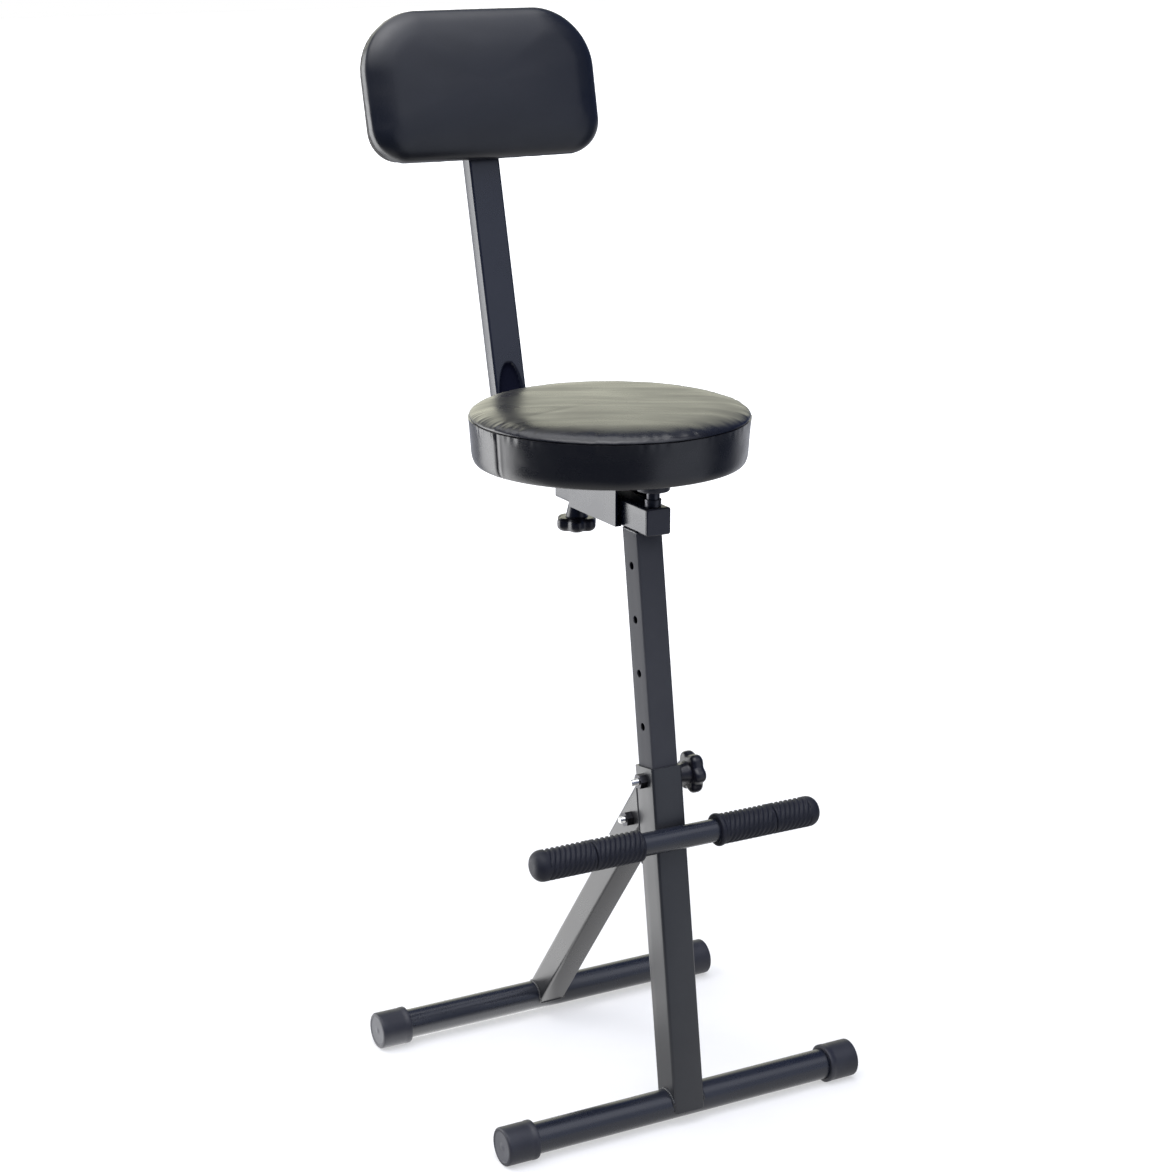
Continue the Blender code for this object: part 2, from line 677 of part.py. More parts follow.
def back_tube_mesh():
    """A flat tube that runs level to the rear, bends and rises, with its corner at the origin."""
    bm = bmesh.new()
    outer = rounded_rect(BACK_TUBE_W, BACK_TUBE_D, BACK_TUBE_CORNER)
    inner = inner_rect(BACK_TUBE_W, BACK_TUBE_D, BACK_TUBE_WALL, BACK_TUBE_CORNER)
    faces = ring_faces(bm, outer, inner, BACK_TUBE_FRONT - BACK_CORNER_Y)
    run = BACK_CORNER_Y - BACK_BEND_RUN - BACK_TUBE_FRONT
    faces = extrude_up(bm, faces, Vector((0.0, 0.0, run)))
    centre = Vector((0.0, -BACK_BEND, -BACK_BEND_RUN))
    turn = Matrix.Rotation(BACK_TURN / BEND_STEPS, 3, "X")
    for _ in range(BEND_STEPS):
        faces = extend(bm, faces, Vector((0.0, 0.0, 0.0)))
        tips = list({vert for face in faces for vert in face.verts})
        bmesh.ops.rotate(bm, verts=tips, cent=centre, matrix=turn)
    rise = Vector((0.0, -math.sin(BACK_TURN), math.cos(BACK_TURN)))
    extend(bm, faces, rise * (BACK_TUBE_TOP - BACK_BEND_RUN))
    return bm


def pad_outline(inset):
    """The backrest's outline, rounder at the top than at the bottom, drawn in by an inset."""
    x = PAD_W / 2 - inset
    y = PAD_H / 2 - inset
    top = max(PAD_TOP_ROUND - inset, PAD_FRONT_ROUND)
    low = max(PAD_LOW_ROUND - inset, PAD_FRONT_ROUND)
    quarter = math.pi / 2
    outline = arc_points((x - top, y - top), top, 0.0, quarter, BEND_STEPS)
    outline.extend(arc_points((top - x, y - top), top, quarter, quarter, BEND_STEPS))
    outline.extend(arc_points((low - x, low - y), low, 2 * quarter, quarter, BEND_STEPS))
    outline.extend(arc_points((x - low, low - y), low, 3 * quarter, quarter, BEND_STEPS))
    return outline


def pad_mesh():
    """A boxed cushion with rounded edges, slightly drawn-in sides and a crowned front."""
    quarter = math.pi / 2
    shoulder = PAD_T - PAD_FRONT_ROUND
    sections = []
    for inset, height in arc_points((PAD_REAR_ROUND, PAD_REAR_ROUND), PAD_REAR_ROUND, -quarter, -quarter,
                                    EDGE_STEPS):
        sections.append((pad_outline(inset), height))
    sections.append((pad_outline(PAD_WAIST), (PAD_REAR_ROUND + shoulder) / 2))
    for inset, height in arc_points((PAD_FRONT_ROUND, shoulder), PAD_FRONT_ROUND, math.pi, -quarter,
                                    CORNER_STEPS):
        sections.append((pad_outline(inset), height))
    field = PAD_H / 2 - PAD_FRONT_ROUND
    for step in range(1, ARC_STEPS):
        share = step / ARC_STEPS
        rise = PAD_CROWN * math.sin(share * quarter)
        sections.append((pad_outline(PAD_FRONT_ROUND + field * share), PAD_T + rise))
    return loft(sections)


def add_backrest(backrest, riser, tools):
    add_object("back_tube", back_tube_mesh(), backrest, tools["steel"], turn=ALONG_Y)
    board_rear = BACK_TUBE_D / 2 + SEAT_GAP
    board = bar_mesh(pad_outline(BACK_BOARD_INSET), 0.0, BACK_BOARD_T)
    add_object("back_board", board, riser, tools["board"], (0.0, -board_rear, PAD_MID), ALONG_MINUS_Y)
    pad_rear = board_rear + BACK_BOARD_T + SEAT_GAP
    add_object("back_cushion", pad_mesh(), riser, tools["vinyl"], (0.0, -pad_rear, PAD_MID), ALONG_MINUS_Y)


# Knobs


def scalloped(radius, depth):
    points = []
    for step in range(KNOB_STEPS):
        angle = math.tau * step / KNOB_STEPS
        reach = radius - depth * (1.0 - math.cos(KNOB_LOBES * angle)) / 2
        points.append((reach * math.cos(angle), reach * math.sin(angle)))
    return points


def knob_mesh():
    """A star knob with its hub's foot at height 0 and a blind bore for its screw."""
    bore = circle(SCREW_D / 2 + SCREW_CLEAR, KNOB_STEPS)
    hub = circle(HUB_D / 2, KNOB_STEPS)
    radius = KNOB_D / 2
    top = HUB_H + KNOB_T
    sections = [(bore, SCREW_SEAT), (bore, 0.0), (hub, 0.0), (hub, HUB_H)]
    for step in range(2 * CORNER_STEPS + 1):
        swing = math.pi * step / (2 * CORNER_STEPS)
        edge = KNOB_ROUND * (1.0 - math.sin(swing))
        height = HUB_H + KNOB_T * (1.0 - math.cos(swing)) / 2
        sections.append((scalloped(radius - edge, KNOB_SCALLOP), height))
    rim = radius - 2 * KNOB_ROUND
    sections.append((circle(rim - KNOB_SCALLOP, KNOB_STEPS), top))
    sections.append((circle(rim - KNOB_SCALLOP - KNOB_FACE_DISH, KNOB_STEPS), top - KNOB_FACE_DISH))
    return loft(sections)


def add_height_knob(knob, tools):
    foot = POST_W / 2 + SEAT_GAP
    tip = COLUMN_W / 2 + SEAT_GAP
    add_object("height_knob", knob_mesh(), knob, tools["plastic"], (foot, 0.0, 0.0), ALONG_X)
    end = foot + SCREW_SEAT - SEAT_GAP
    add_object("height_screw", stud_mesh(SCREW_D, -end, -tip), knob, tools["zinc"], turn=ALONG_MINUS_X)


def add_backrest_knob(knob, tools):
    foot = CLAMP_NUT_H + 2 * SEAT_GAP
    tip = BACK_RUN_Z - BACK_TUBE_D / 2 - SEAT_GAP
    add_object("backrest_knob", knob_mesh(), knob, tools["plastic"], (0.0, 0.0, -foot), ALONG_MINUS_Z)
    end = foot + SCREW_SEAT - SEAT_GAP
    add_object("backrest_screw", stud_mesh(SCREW_D, -end, tip), knob, tools["zinc"])


def add_clamp_nut(seat, tools):
    add_object("clamp_nut", nut_mesh(SCREW_D + 2 * SCREW_CLEAR, NUT_ACROSS, CLAMP_NUT_H), seat,
               tools["black_zinc"], (0.0, CLAMP_Y, -SEAT_GAP), ALONG_MINUS_Z)


def make_materials():
    return {
        "steel": make_material("black_powder_coat", (0.020, 0.020, 0.023), 0.38, 0.0),
        "rubber": make_material("black_rubber", (0.016, 0.016, 0.019), 0.62, 0.0),
        "grip": make_material("ribbed_grip_rubber", (0.014, 0.014, 0.018), 0.70, 0.0),
        "zinc": make_material("bright_zinc", (0.66, 0.66, 0.65), 0.26, 1.0),
        "black_zinc": make_material("black_zinc", (0.030, 0.030, 0.032), 0.40, 1.0),
        "plastic": make_material("black_plastic", (0.012, 0.012, 0.014), 0.42, 0.0),
        "board": make_material("dark_board", (0.028, 0.027, 0.026), 0.75, 0.0),
        "vinyl": make_material("black_vinyl", (0.018, 0.018, 0.018), 0.40, 0.0),
    }


def build():
    clear_scene()
    tools = make_materials()
    root = make_empty("stool", None, (0.0, -MIDDLE_Y, 0.0))
    post = make_empty("post_axis", root, (0.0, 0.0, FOOT_AXIS_Z), -POST_LEAN)
    pivot = (0.0, PIVOT_Y, FOOT_AXIS_Z + PIVOT_RISE)
    bracket = make_empty("bracket_axis", root, pivot, LEG_ANGLE)
    leg = make_empty("leg_fold_axis", root, pivot, LEG_ANGLE)
    column = make_empty("column_slide_axis", post, (0.0, 0.0, LOCK_ALONG))
    seat = make_empty("arm_underside", column, (0.0, 0.0, COLUMN_TOP - LOCK_ALONG), POST_LEAN)
    backrest = make_empty("backrest_slide_axis", seat, (0.0, BACK_CORNER_Y, BACK_RUN_Z))
    riser = make_empty("back_riser_axis", backrest, (0.0, 0.0, 0.0), -BACK_LEAN)
    height_knob = make_empty("height_knob_axis", post, (0.0, 0.0, LOCK_ALONG))
    backrest_knob = make_empty("backrest_knob_axis", seat, (0.0, CLAMP_Y, 0.0))

    floor_block = bar_mesh(circle(FOOT_BAR_LENGTH + FOOT_SPACING, SMALL_STEPS), -CUT_REACH, 0.0)
    tools["floor"] = add_cutter("floor_block", floor_block, root, (0.0, FOOT_SPACING / 2, 0.0))
    tools["pivot_hole"] = pin_cutter("pivot_hole", bracket, PIVOT_BOLT_D + 2 * SCREW_CLEAR,
                                     (0.0, 0.0, 0.0), ALONG_X)

    add_foot_bar("front", root, 0.0, tools)
    add_foot_caps("front", root, 0.0, tools)
    add_foot_bar("rear", root, FOOT_SPACING, tools)
    add_foot_caps("rear", root, FOOT_SPACING, tools)
    add_lower_post(post, tools)
    add_leg_bracket(bracket, tools)
    add_pivot(bracket, tools)
    add_height_lock(post, tools)
    add_footrest(post, tools)
    add_rear_leg(leg, tools)
    add_upper_post(column, tools)
    add_seat_arm(seat, tools)
    add_seat_carrier(seat, tools)
    add_front_support(seat, tools)
    add_seat(seat, tools)
    add_clamp_nut(seat, tools)
    add_backrest(backrest, riser, tools)
    add_height_knob(height_knob, tools)
    add_backrest_knob(backrest_knob, tools)


build()
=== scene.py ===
from math import acos, atan2, ceil, cos, exp, hypot, pi, radians, sin, sqrt, tan, tau

import bpy
import numpy as np
from mathutils import Matrix, Vector, noise


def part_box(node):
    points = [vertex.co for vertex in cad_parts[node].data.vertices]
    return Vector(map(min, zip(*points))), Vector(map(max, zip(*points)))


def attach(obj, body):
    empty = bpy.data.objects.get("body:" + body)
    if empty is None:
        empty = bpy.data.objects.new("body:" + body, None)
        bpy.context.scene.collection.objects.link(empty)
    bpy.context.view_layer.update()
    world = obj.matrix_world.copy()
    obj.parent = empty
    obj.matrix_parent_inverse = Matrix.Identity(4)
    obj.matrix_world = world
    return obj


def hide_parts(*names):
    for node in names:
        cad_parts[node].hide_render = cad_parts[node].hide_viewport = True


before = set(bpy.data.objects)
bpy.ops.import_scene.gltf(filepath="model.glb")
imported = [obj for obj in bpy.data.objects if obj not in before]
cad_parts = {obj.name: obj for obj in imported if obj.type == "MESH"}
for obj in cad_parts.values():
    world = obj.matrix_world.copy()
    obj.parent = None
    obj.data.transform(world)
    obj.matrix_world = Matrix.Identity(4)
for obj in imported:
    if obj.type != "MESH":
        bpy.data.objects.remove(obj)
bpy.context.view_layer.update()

MM = 0.001
QUARTER = pi / 2
# Clearance between pieces, and the radius where turned pieces end on their axis
GAP = 0.3 * MM
POLE = 0.2 * MM
LEFT_RIGHT = (("left", -1), ("right", 1))
FRONT_REAR = (("front", -1), ("rear", 1))


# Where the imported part's pieces are


def middle(node):
    low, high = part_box(node)
    return (low + high) / 2


def size(node):
    low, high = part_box(node)
    return high - low


def box_in(node, place):
    """Lowest and highest corner of a node, measured in a frame of its own."""
    inward = place.inverted()
    points = np.array([inward @ vertex.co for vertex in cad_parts[node].data.vertices])
    return Vector(points.min(axis=0)), Vector(points.max(axis=0))


# Angles and sizes that the boxes don't give
POST_LEAN = radians(8.5)
BACK_LEAN = radians(13.9)
POST_SKIRT = 6.5 * MM
BACK_TUBE_D = 20.0 * MM
BACK_TUBE_WALL = 1.5 * MM
BACK_BEND = 50.0 * MM
BACK_CORNER_BEHIND = 234.7 * MM

POST_W = size("lower_post").x
COLUMN_W = size("upper_post").x
LEG_W = size("rear_leg").x
ARM_W = size("seat_arm").x
FOOT_BAR_D = size("front_foot_bar").z
REST_BAR_D = size("footrest_bar").z
BACK_TUBE_W = size("back_tube").x

FRONT_BAR = middle("front_foot_bar")
REAR_BAR = middle("rear_foot_bar")
PIVOT = middle("pivot_nut")
LOCK = middle("lock_nut")
CLAMP = middle("backrest_screw")
SEAT = middle("seat_cushion")
BACK_CORNER = Vector((0.0, SEAT.y + BACK_CORNER_BEHIND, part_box("back_tube")[0].z + BACK_TUBE_D / 2))
leg_run = (REAR_BAR.y - PIVOT.y, PIVOT.z - REAR_BAR.z)
LEG_ANGLE = atan2(*leg_run)
LEG_LENGTH = hypot(*leg_run)

POST_FRAME = Matrix.Translation((0.0, FRONT_BAR.y, FRONT_BAR.z)) @ Matrix.Rotation(-POST_LEAN, 4, "X")
LEG_FRAME = Matrix.Translation((0.0, PIVOT.y, PIVOT.z)) @ Matrix.Rotation(LEG_ANGLE, 4, "X")
RISER_FRAME = Matrix.Translation(BACK_CORNER) @ Matrix.Rotation(-BACK_LEAN, 4, "X")


# Node materials

NOISE_SPAN = (0.3, 0.7)
STREAK_TURN = radians(-28.8)


class Graph:
    """A small helper that adds nodes to one material or world."""

    def __init__(self, owner):
        owner.use_nodes = True
        self.owner = owner
        self.tree = owner.node_tree
        self.tree.nodes.clear()

    def put(self, value, socket):
        if isinstance(value, bpy.types.NodeSocket):
            self.tree.links.new(value, socket)
        else:
            socket.default_value = value

    def node(self, kind, inputs=None, **settings):
        made = self.tree.nodes.new(kind)
        for key, value in settings.items():
            setattr(made, key, value)
        for key, value in (inputs or {}).items():
            self.put(value, made.inputs[key])
        return made

    def noise(self, place, scale, detail=4.0, roughness=0.55):
        inputs = {"Vector": place, "Scale": scale, "Detail": detail, "Roughness": roughness}
        return self.node("ShaderNodeTexNoise", inputs).outputs["Fac"]

    def spread(self, value, low, high, to_low=0.0, to_high=1.0, ease="LINEAR"):
        inputs = {"Value": value, "From Min": low, "From Max": high, "To Min": to_low, "To Max": to_high}
        return self.node("ShaderNodeMapRange", inputs, interpolation_type=ease).outputs["Result"]

    def mix(self, share, first, second):
        made = self.node("ShaderNodeMix", data_type="RGBA")
        for index, value in ((0, share), (6, first), (7, second)):
            self.put((*value, 1.0) if isinstance(value, tuple) else value, made.inputs[index])
        return made.outputs[2]

    def blend(self, value, low, high, span=NOISE_SPAN):
        """A colour from low to high while a noise runs through its span."""
        return self.mix(self.spread(value, *span), low, high)

    def math(self, operation, first, second=0.0):
        return self.node("ShaderNodeMath", {0: first, 1: second}, operation=operation).outputs[0]

    def vector(self, operation, first, second=(0.0, 0.0, 0.0), output="Vector"):
        return self.node("ShaderNodeVectorMath", {0: first, 1: second}, operation=operation).outputs[output]

    def scaled(self, colour, share):
        made = self.node("ShaderNodeVectorMath", {0: colour, "Scale": share}, operation="SCALE")
        return made.outputs["Vector"]

    def lobe(self, way, direction, start, full):
        """How far a direction lies inside a soft cone, from 0 to 1."""
        facing = self.vector("DOT_PRODUCT", way, Vector(direction).normalized(), "Value")
        return self.spread(facing, start, full, ease="SMOOTHSTEP")

    def lights(self, way, base, patches):
        """A base colour and soft lights on it, each in a cone round its own direction."""
        total = base
        for direction, start, full, radiance in patches:
            light = self.scaled(radiance, self.lobe(way, direction, start, full))
            total = self.vector("ADD", total, light)
        return total

    def stretched(self, place, stretch, turn=0.0):
        """Coordinates that draw a texture out by a stretch along each axis of a turned frame."""
        inputs = {"Vector": place, "Scale": stretch, "Rotation": (0.0, 0.0, turn)}
        return self.node("ShaderNodeMapping", inputs, vector_type="TEXTURE").outputs["Vector"]

    def bump(self, height, strength, distance, below=None):
        inputs = {"Height": height, "Strength": strength, "Distance": distance}
        if below is not None:
            inputs["Normal"] = below
        return self.node("ShaderNodeBump", inputs).outputs["Normal"]

    def seen(self, rays):
        """1 on rays that show the backdrop, straight or through glass."""
        return self.math("MAXIMUM", rays["Is Camera Ray"], rays["Is Transmission Ray"])

    def place(self):
        return self.node("ShaderNodeTexCoord").outputs["Object"]

    def surface(self, **inputs):
        named = {key.replace("_", " "): value for key, value in inputs.items()}
        shader = self.node("ShaderNodeBsdfPrincipled", named)
        self.node("ShaderNodeOutputMaterial", {"Surface": shader.outputs["BSDF"]})
        return self.owner


def powder_coat(name, low, high, rough, ior):
    """Black powder coat: fine orange peel, a little dust and uneven gloss."""
    g = Graph(bpy.data.materials.new(name))
    place = g.place()
    cloud = g.noise(place, scale=14.0, detail=5.0)
    speck = g.noise(place, scale=620.0, detail=2.0)
    uneven = g.math("ADD", cloud, g.math("MULTIPLY", speck, 0.35))
    gloss = g.spread(uneven, 0.45, 0.95, *rough)
    swell = g.bump(g.noise(place, scale=60.0, detail=2.0), strength=0.05, distance=0.4 * MM)
    peel = g.noise(place, scale=950.0, detail=2.0, roughness=0.5)
    normal = g.bump(peel, strength=0.12, distance=0.05 * MM, below=swell)
    return g.surface(Base_Color=g.blend(cloud, low, high), Roughness=gloss, IOR=ior, Normal=normal)


def moulded(name, low, high, rough, grain_scale, grain, ior):
    """Moulded rubber or plastic with a fine even grain and slightly uneven gloss."""
    g = Graph(bpy.data.materials.new(name))
    place = g.place()
    tone = g.blend(g.noise(place, scale=38.0, detail=4.0), low, high)
    fine = g.noise(place, grain_scale, detail=3.0, roughness=0.6)
    gloss = g.spread(fine, *NOISE_SPAN, *rough)
    normal = g.bump(fine, grain, distance=0.08 * MM)
    return g.surface(Base_Color=tone, Roughness=gloss, IOR=ior, Normal=normal)


def plated(name, low, high, rough):
    """Zinc plate: metal with a mottled tone and fine turning marks."""
    g = Graph(bpy.data.materials.new(name))
    place = g.place()
    tone = g.blend(g.noise(place, scale=240.0, detail=4.0), low, high)
    marks = g.noise(g.stretched(place, (1.0, 12.5, 12.5)), scale=2600.0, detail=2.0)
    gloss = g.spread(marks, *NOISE_SPAN, *rough)
    normal = g.bump(marks, strength=0.10, distance=0.03 * MM)
    return g.surface(Base_Color=tone, Roughness=gloss, Metallic=1.0, Normal=normal)


def fibre_board(name, low, high):
    """Dark stained fibre board with short fibres."""
    g = Graph(bpy.data.materials.new(name))
    drawn = g.stretched(g.place(), (1.0, 4.0, 1.0))
    fibres = g.noise(drawn, scale=420.0, detail=5.0, roughness=0.65)
    gloss = g.spread(fibres, *NOISE_SPAN, 0.62, 0.85)
    normal = g.bump(fibres, strength=0.25, distance=0.15 * MM)
    return g.surface(Base_Color=g.blend(fibres, low, high), Roughness=gloss, Normal=normal)


def vinyl(name, low, high, rough, streak):
    """Black upholstery vinyl: pebbled grain, soft drawn streaks and a satin gloss."""
    g = Graph(bpy.data.materials.new(name))
    place = g.place()
    pebbles = g.node("ShaderNodeTexVoronoi", {"Vector": place, "Scale": 780.0}, feature="F1")
    pores = g.noise(place, scale=1500.0, detail=3.0, roughness=0.6)
    lines = g.stretched(place, (6.0, 1.0, 1.0), STREAK_TURN)
    drawn = g.noise(lines, scale=46.0, detail=3.0, roughness=0.5)
    cloud = g.noise(place, scale=17.0, detail=3.0)
    tone = g.blend(g.math("ADD", pores, cloud), low, high, span=(0.75, 1.25))
    uneven = g.math("ADD", g.math("MULTIPLY", drawn, 0.75), g.math("MULTIPLY", cloud, 0.25))
    gloss = g.spread(uneven, 0.35, 0.65, *rough)
    normal = g.bump(drawn, streak, distance=0.8 * MM)
    normal = g.bump(pebbles.outputs["Distance"], strength=0.16, distance=0.12 * MM, below=normal)
    normal = g.bump(pores, strength=0.08, distance=0.04 * MM, below=normal)
    return g.surface(Base_Color=tone, Roughness=gloss, IOR=1.5, Normal=normal)


STEEL = powder_coat("black_powder_coat", (0.006, 0.008, 0.015), (0.010, 0.012, 0.020),
                    rough=(0.22, 0.34), ior=1.52)
POST_STEEL = powder_coat("satin_powder_coat", (0.014, 0.015, 0.017), (0.022, 0.023, 0.025),
                         rough=(0.30, 0.42), ior=1.50)
COLUMN_STEEL = powder_coat("sliding_tube_coat", (0.034, 0.035, 0.040), (0.045, 0.046, 0.051),
                           rough=(0.56, 0.66), ior=1.35)
# A near-black, dull copy of the coat for the deep faces of the back tube's hollow: painted shade
SHADED_HOLLOW_STEEL = powder_coat("painted_shade_powder_coat", (0.002, 0.003, 0.010), (0.004, 0.005, 0.016),
                           rough=(0.75, 0.90), ior=1.20)
# A lighter, greyer copy of the black coat for the rear leg, its bracket and their welds: painted light for
# the extra light the leg catches
LIT_LEG_STEEL = powder_coat("painted_light_powder_coat", (0.014, 0.014, 0.014), (0.024, 0.024, 0.024),
                        rough=(0.24, 0.36), ior=1.55)
RUBBER = moulded("black_rubber", (0.008, 0.009, 0.016), (0.016, 0.017, 0.025),
                 rough=(0.42, 0.58), grain_scale=900.0, grain=0.14, ior=1.48)
# A lighter grey copy of the rubber for the flat end discs of the foot caps: painted light
LIT_CAP_END = moulded("painted_light_cap_end", (0.080, 0.081, 0.088), (0.112, 0.113, 0.121),
                  rough=(0.50, 0.66), grain_scale=700.0, grain=0.20, ior=1.48)
GRIP = moulded("ribbed_grip_rubber", (0.005, 0.006, 0.012), (0.010, 0.011, 0.018),
               rough=(0.52, 0.66), grain_scale=1100.0, grain=0.12, ior=1.38)
PLASTIC = moulded("black_plastic", (0.006, 0.006, 0.010), (0.011, 0.011, 0.016),
                  rough=(0.26, 0.36), grain_scale=1300.0, grain=0.08, ior=1.44)
ZINC = plated("bright_zinc", (0.58, 0.58, 0.57), (0.80, 0.80, 0.78), rough=(0.16, 0.30))
BLACK_ZINC = plated("black_zinc", (0.030, 0.030, 0.034), (0.060, 0.060, 0.066), rough=(0.28, 0.42))
BOARD = fibre_board("dark_board", (0.014, 0.013, 0.013), (0.040, 0.037, 0.034))
SEAT_VINYL = vinyl("seat_vinyl", (0.004, 0.004, 0.006), (0.007, 0.007, 0.008),
                   rough=(0.22, 0.34), streak=0.24)
PAD_VINYL = vinyl("back_vinyl", (0.003, 0.004, 0.007), (0.006, 0.007, 0.011),
                  rough=(0.30, 0.40), streak=0.06)


# Mesh helpers


def finish_piece(obj, body, slot, *nodes):
    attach(obj, body)
    if nodes:
        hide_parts(*nodes)


def linked(name, data):
    obj = bpy.data.objects.new(name, data)
    bpy.context.scene.collection.objects.link(obj)
    return obj


def bare_mesh(name, points, faces):
    mesh = bpy.data.meshes.new(name)
    mesh.from_pydata([tuple(point) for point in points], [], faces)
    mesh.validate()
    return linked(name, mesh)


def skin(rings, closed=False):
    """Quads between rings that all have as many points; the two ends get a flat face unless closed."""
    count = len(rings)
    steps = len(rings[0])
    faces = []
    for low in range(count if closed else count - 1):
        high = (low + 1) % count
        for index in range(steps):
            after = (index + 1) % steps
            faces.append((low * steps + index, low * steps + after,
                          high * steps + after, high * steps + index))
    if not closed:
        faces.append(tuple(reversed(range(steps))))
        faces.append(tuple((count - 1) * steps + index for index in range(steps)))
    return faces


def rings_piece(name, rings, material, closed=False, sharp_angle=radians(40)):
    obj = bare_mesh(name, [point for ring in rings for point in ring], skin(rings, closed))
    obj.data.shade_smooth()
    obj.data.set_sharp_from_angle(angle=sharp_angle)
    obj.data.materials.append(material)
    return obj


def axes_of(direction):
    """A direction and two unit vectors square to it."""
    along = Vector(direction).normalized()
    other = Vector((0.0, 0.0, 1.0) if abs(along.z) < 0.9 else (0.0, 1.0, 0.0))
    side = along.cross(other).normalized()
    return along, side, along.cross(side).normalized()


def turned_rings(profile, centre, direction, steps, shape=None):
    """Rings of points round an axis. A profile point is (radius, height); shape may change the radius."""
    along, side, up = axes_of(direction)
    rings = []
    for radius, height in profile:
        ring = []
        for step in range(steps):
            angle = tau * step / steps
            reach = radius if shape is None else shape(radius, height, angle)
            spoke = side * cos(angle) + up * sin(angle)
            ring.append(Vector(centre) + along * height + spoke * reach)
        rings.append(ring)
    return rings


def arc(centre, radius, start, sweep, steps):
    angles = [start + sweep * index / steps for index in range(steps + 1)]
    return [(centre[0] + radius * cos(t), centre[1] + radius * sin(t)) for t in angles]


def dense(profile, step):
    """The same profile with points no further apart than step."""
    points = [profile[0]]
    for (r0, h0), (r1, h1) in zip(profile, profile[1:]):
        count = max(1, ceil(hypot(r1 - r0, h1 - h0) / step))
        for index in range(1, count + 1):
            share = index / count
            points.append((r0 + (r1 - r0) * share, h0 + (h1 - h0) * share))
    return points


def smooth_step(value, low, high):
    share = min(max((value - low) / (high - low), 0.0), 1.0)
    return share * share * (3.0 - 2.0 * share)


def bell(off, peak, width):
    return peak * exp(-(off / width) ** 2)


def wander(angle, scale, seed):
    """Smooth noise round a circle, from about -1 to 1."""
    return noise.noise(Vector((cos(angle) * scale, sin(angle) * scale, seed)))


# Pieces that keep their CAD shape

CAD_LOOKS = (
    (STEEL, ("front_foot_bar", "rear_foot_bar", "footrest_bar", "seat_arm", "seat_channel", "seat_plate")),
    (POST_STEEL, ("lower_post",)),
    (LIT_LEG_STEEL, ("leg_bracket", "rear_leg")),
    (COLUMN_STEEL, ("upper_post",)),
    (RUBBER, ("arm_plug", "front_buffer")),
    (BLACK_ZINC, ("front_spacer", "clamp_nut", "lock_nut", "pivot_nut")),
    (BOARD, ("seat_board", "back_board")),
    (ZINC, ("height_screw",)),
)


def dress_cad_node(node, material):
    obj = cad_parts[node]
    obj.data.materials.clear()
    obj.data.materials.append(material)
    obj.data.attributes.remove(obj.data.attributes["custom_normal"])
    obj.data.shade_smooth()
    obj.modifiers.new("join_facets", "WELD").merge_threshold = 0.01 * MM
    obj.modifiers.new("keep_edges", "EDGE_SPLIT").split_angle = radians(34)


for look, nodes in CAD_LOOKS:
    for node in nodes:
        dress_cad_node(node, look)


# Foot caps: a rolled mouth, a slightly proud rim and a recessed end with its moulding mark, whose flat end
# disc gets a lighter grey rubber as painted light

CAP_STEPS = 72
CAP_END_T = 4.0 * MM
CAP_DISC = 0.80
CAP_LIP = 1.2 * MM
CAP_COLLAR = 5.0 * MM
CAP_STEP_IN = 0.35 * MM
CAP_EDGE = 2.5 * MM


def cap_profile(length, radius, bore):
    """From the bore's floor, out round the mouth, along the side and over the end."""
    end = CAP_END_T
    mouth = end - length
    side = radius - CAP_STEP_IN
    disc = CAP_DISC * radius
    profile = [(POLE, GAP), (bore, GAP), (bore, mouth)]
    profile += arc((radius - CAP_LIP, mouth + CAP_LIP), CAP_LIP, -QUARTER, QUARTER, 5)
    profile += [(radius, mouth + CAP_COLLAR), (side, mouth + CAP_COLLAR + 0.6 * MM)]
    profile += arc((side - CAP_EDGE, end - CAP_EDGE), CAP_EDGE, 0.0, QUARTER, 7)
    profile += [(disc, end), (disc - 0.5 * MM, end - 0.6 * MM), (0.16 * radius, end - 0.8 * MM)]
    profile += [(0.12 * radius, end - 0.2 * MM), (POLE, end - 0.1 * MM)]
    return profile


def add_cap(node, body, bar, sign):
    low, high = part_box(node)
    radius = (high.y - low.y) / 2
    start = Vector((sign * size("front_foot_bar").x / 2, bar.y, bar.z))
    profile = dense(cap_profile(high.x - low.x, radius, FOOT_BAR_D / 2 + GAP), 4.0 * MM)
    rings = turned_rings(profile, start, (sign, 0.0, 0.0), CAP_STEPS)
    for ring in rings:
        for point in ring:
            point.z = max(point.z, 0.0)
    cap = rings_piece(node + "_moulded", rings, RUBBER)
    cap.data.materials.append(LIT_CAP_END)
    # Faces of the flat end disc get the lighter rubber: painted light
    for face in cap.data.polygons:
        out = sign * (face.center.x - start.x)
        reach = hypot(face.center.y - bar.y, face.center.z - bar.z)
        face.material_index = 1 if out > CAP_END_T - 1.0 * MM and reach < CAP_DISC * radius else 0
    finish_piece(cap, body, "black_rubber", node)


for row, body, bar in (("front", "base", FRONT_BAR), ("rear", "rear_leg", REAR_BAR)):
    for side, sign in LEFT_RIGHT:
        add_cap(f"{row}_foot_cap_{side}", body, bar, sign)


# Footrest grips: slanted ribs between plain collars

GRIP_WALL = 4.4 * MM
GRIP_R = REST_BAR_D / 2 + GRIP_WALL
GRIP_END_T = 3.0 * MM
GRIP_LIP = 2.2 * MM
GRIP_DOME = 12.0 * MM
FLANGE = 1.2 * MM
FLANGE_T = 6.0 * MM
RIB_STARTS = 6
RIB_PITCH = 6.2 * MM
RIB_DEPTH = 1.3 * MM
RIB_STEPS = 132
RIB_ROW = 0.65 * MM
COLLAR = 4.0 * MM
COLLAR_PLAIN = 0.7 * COLLAR


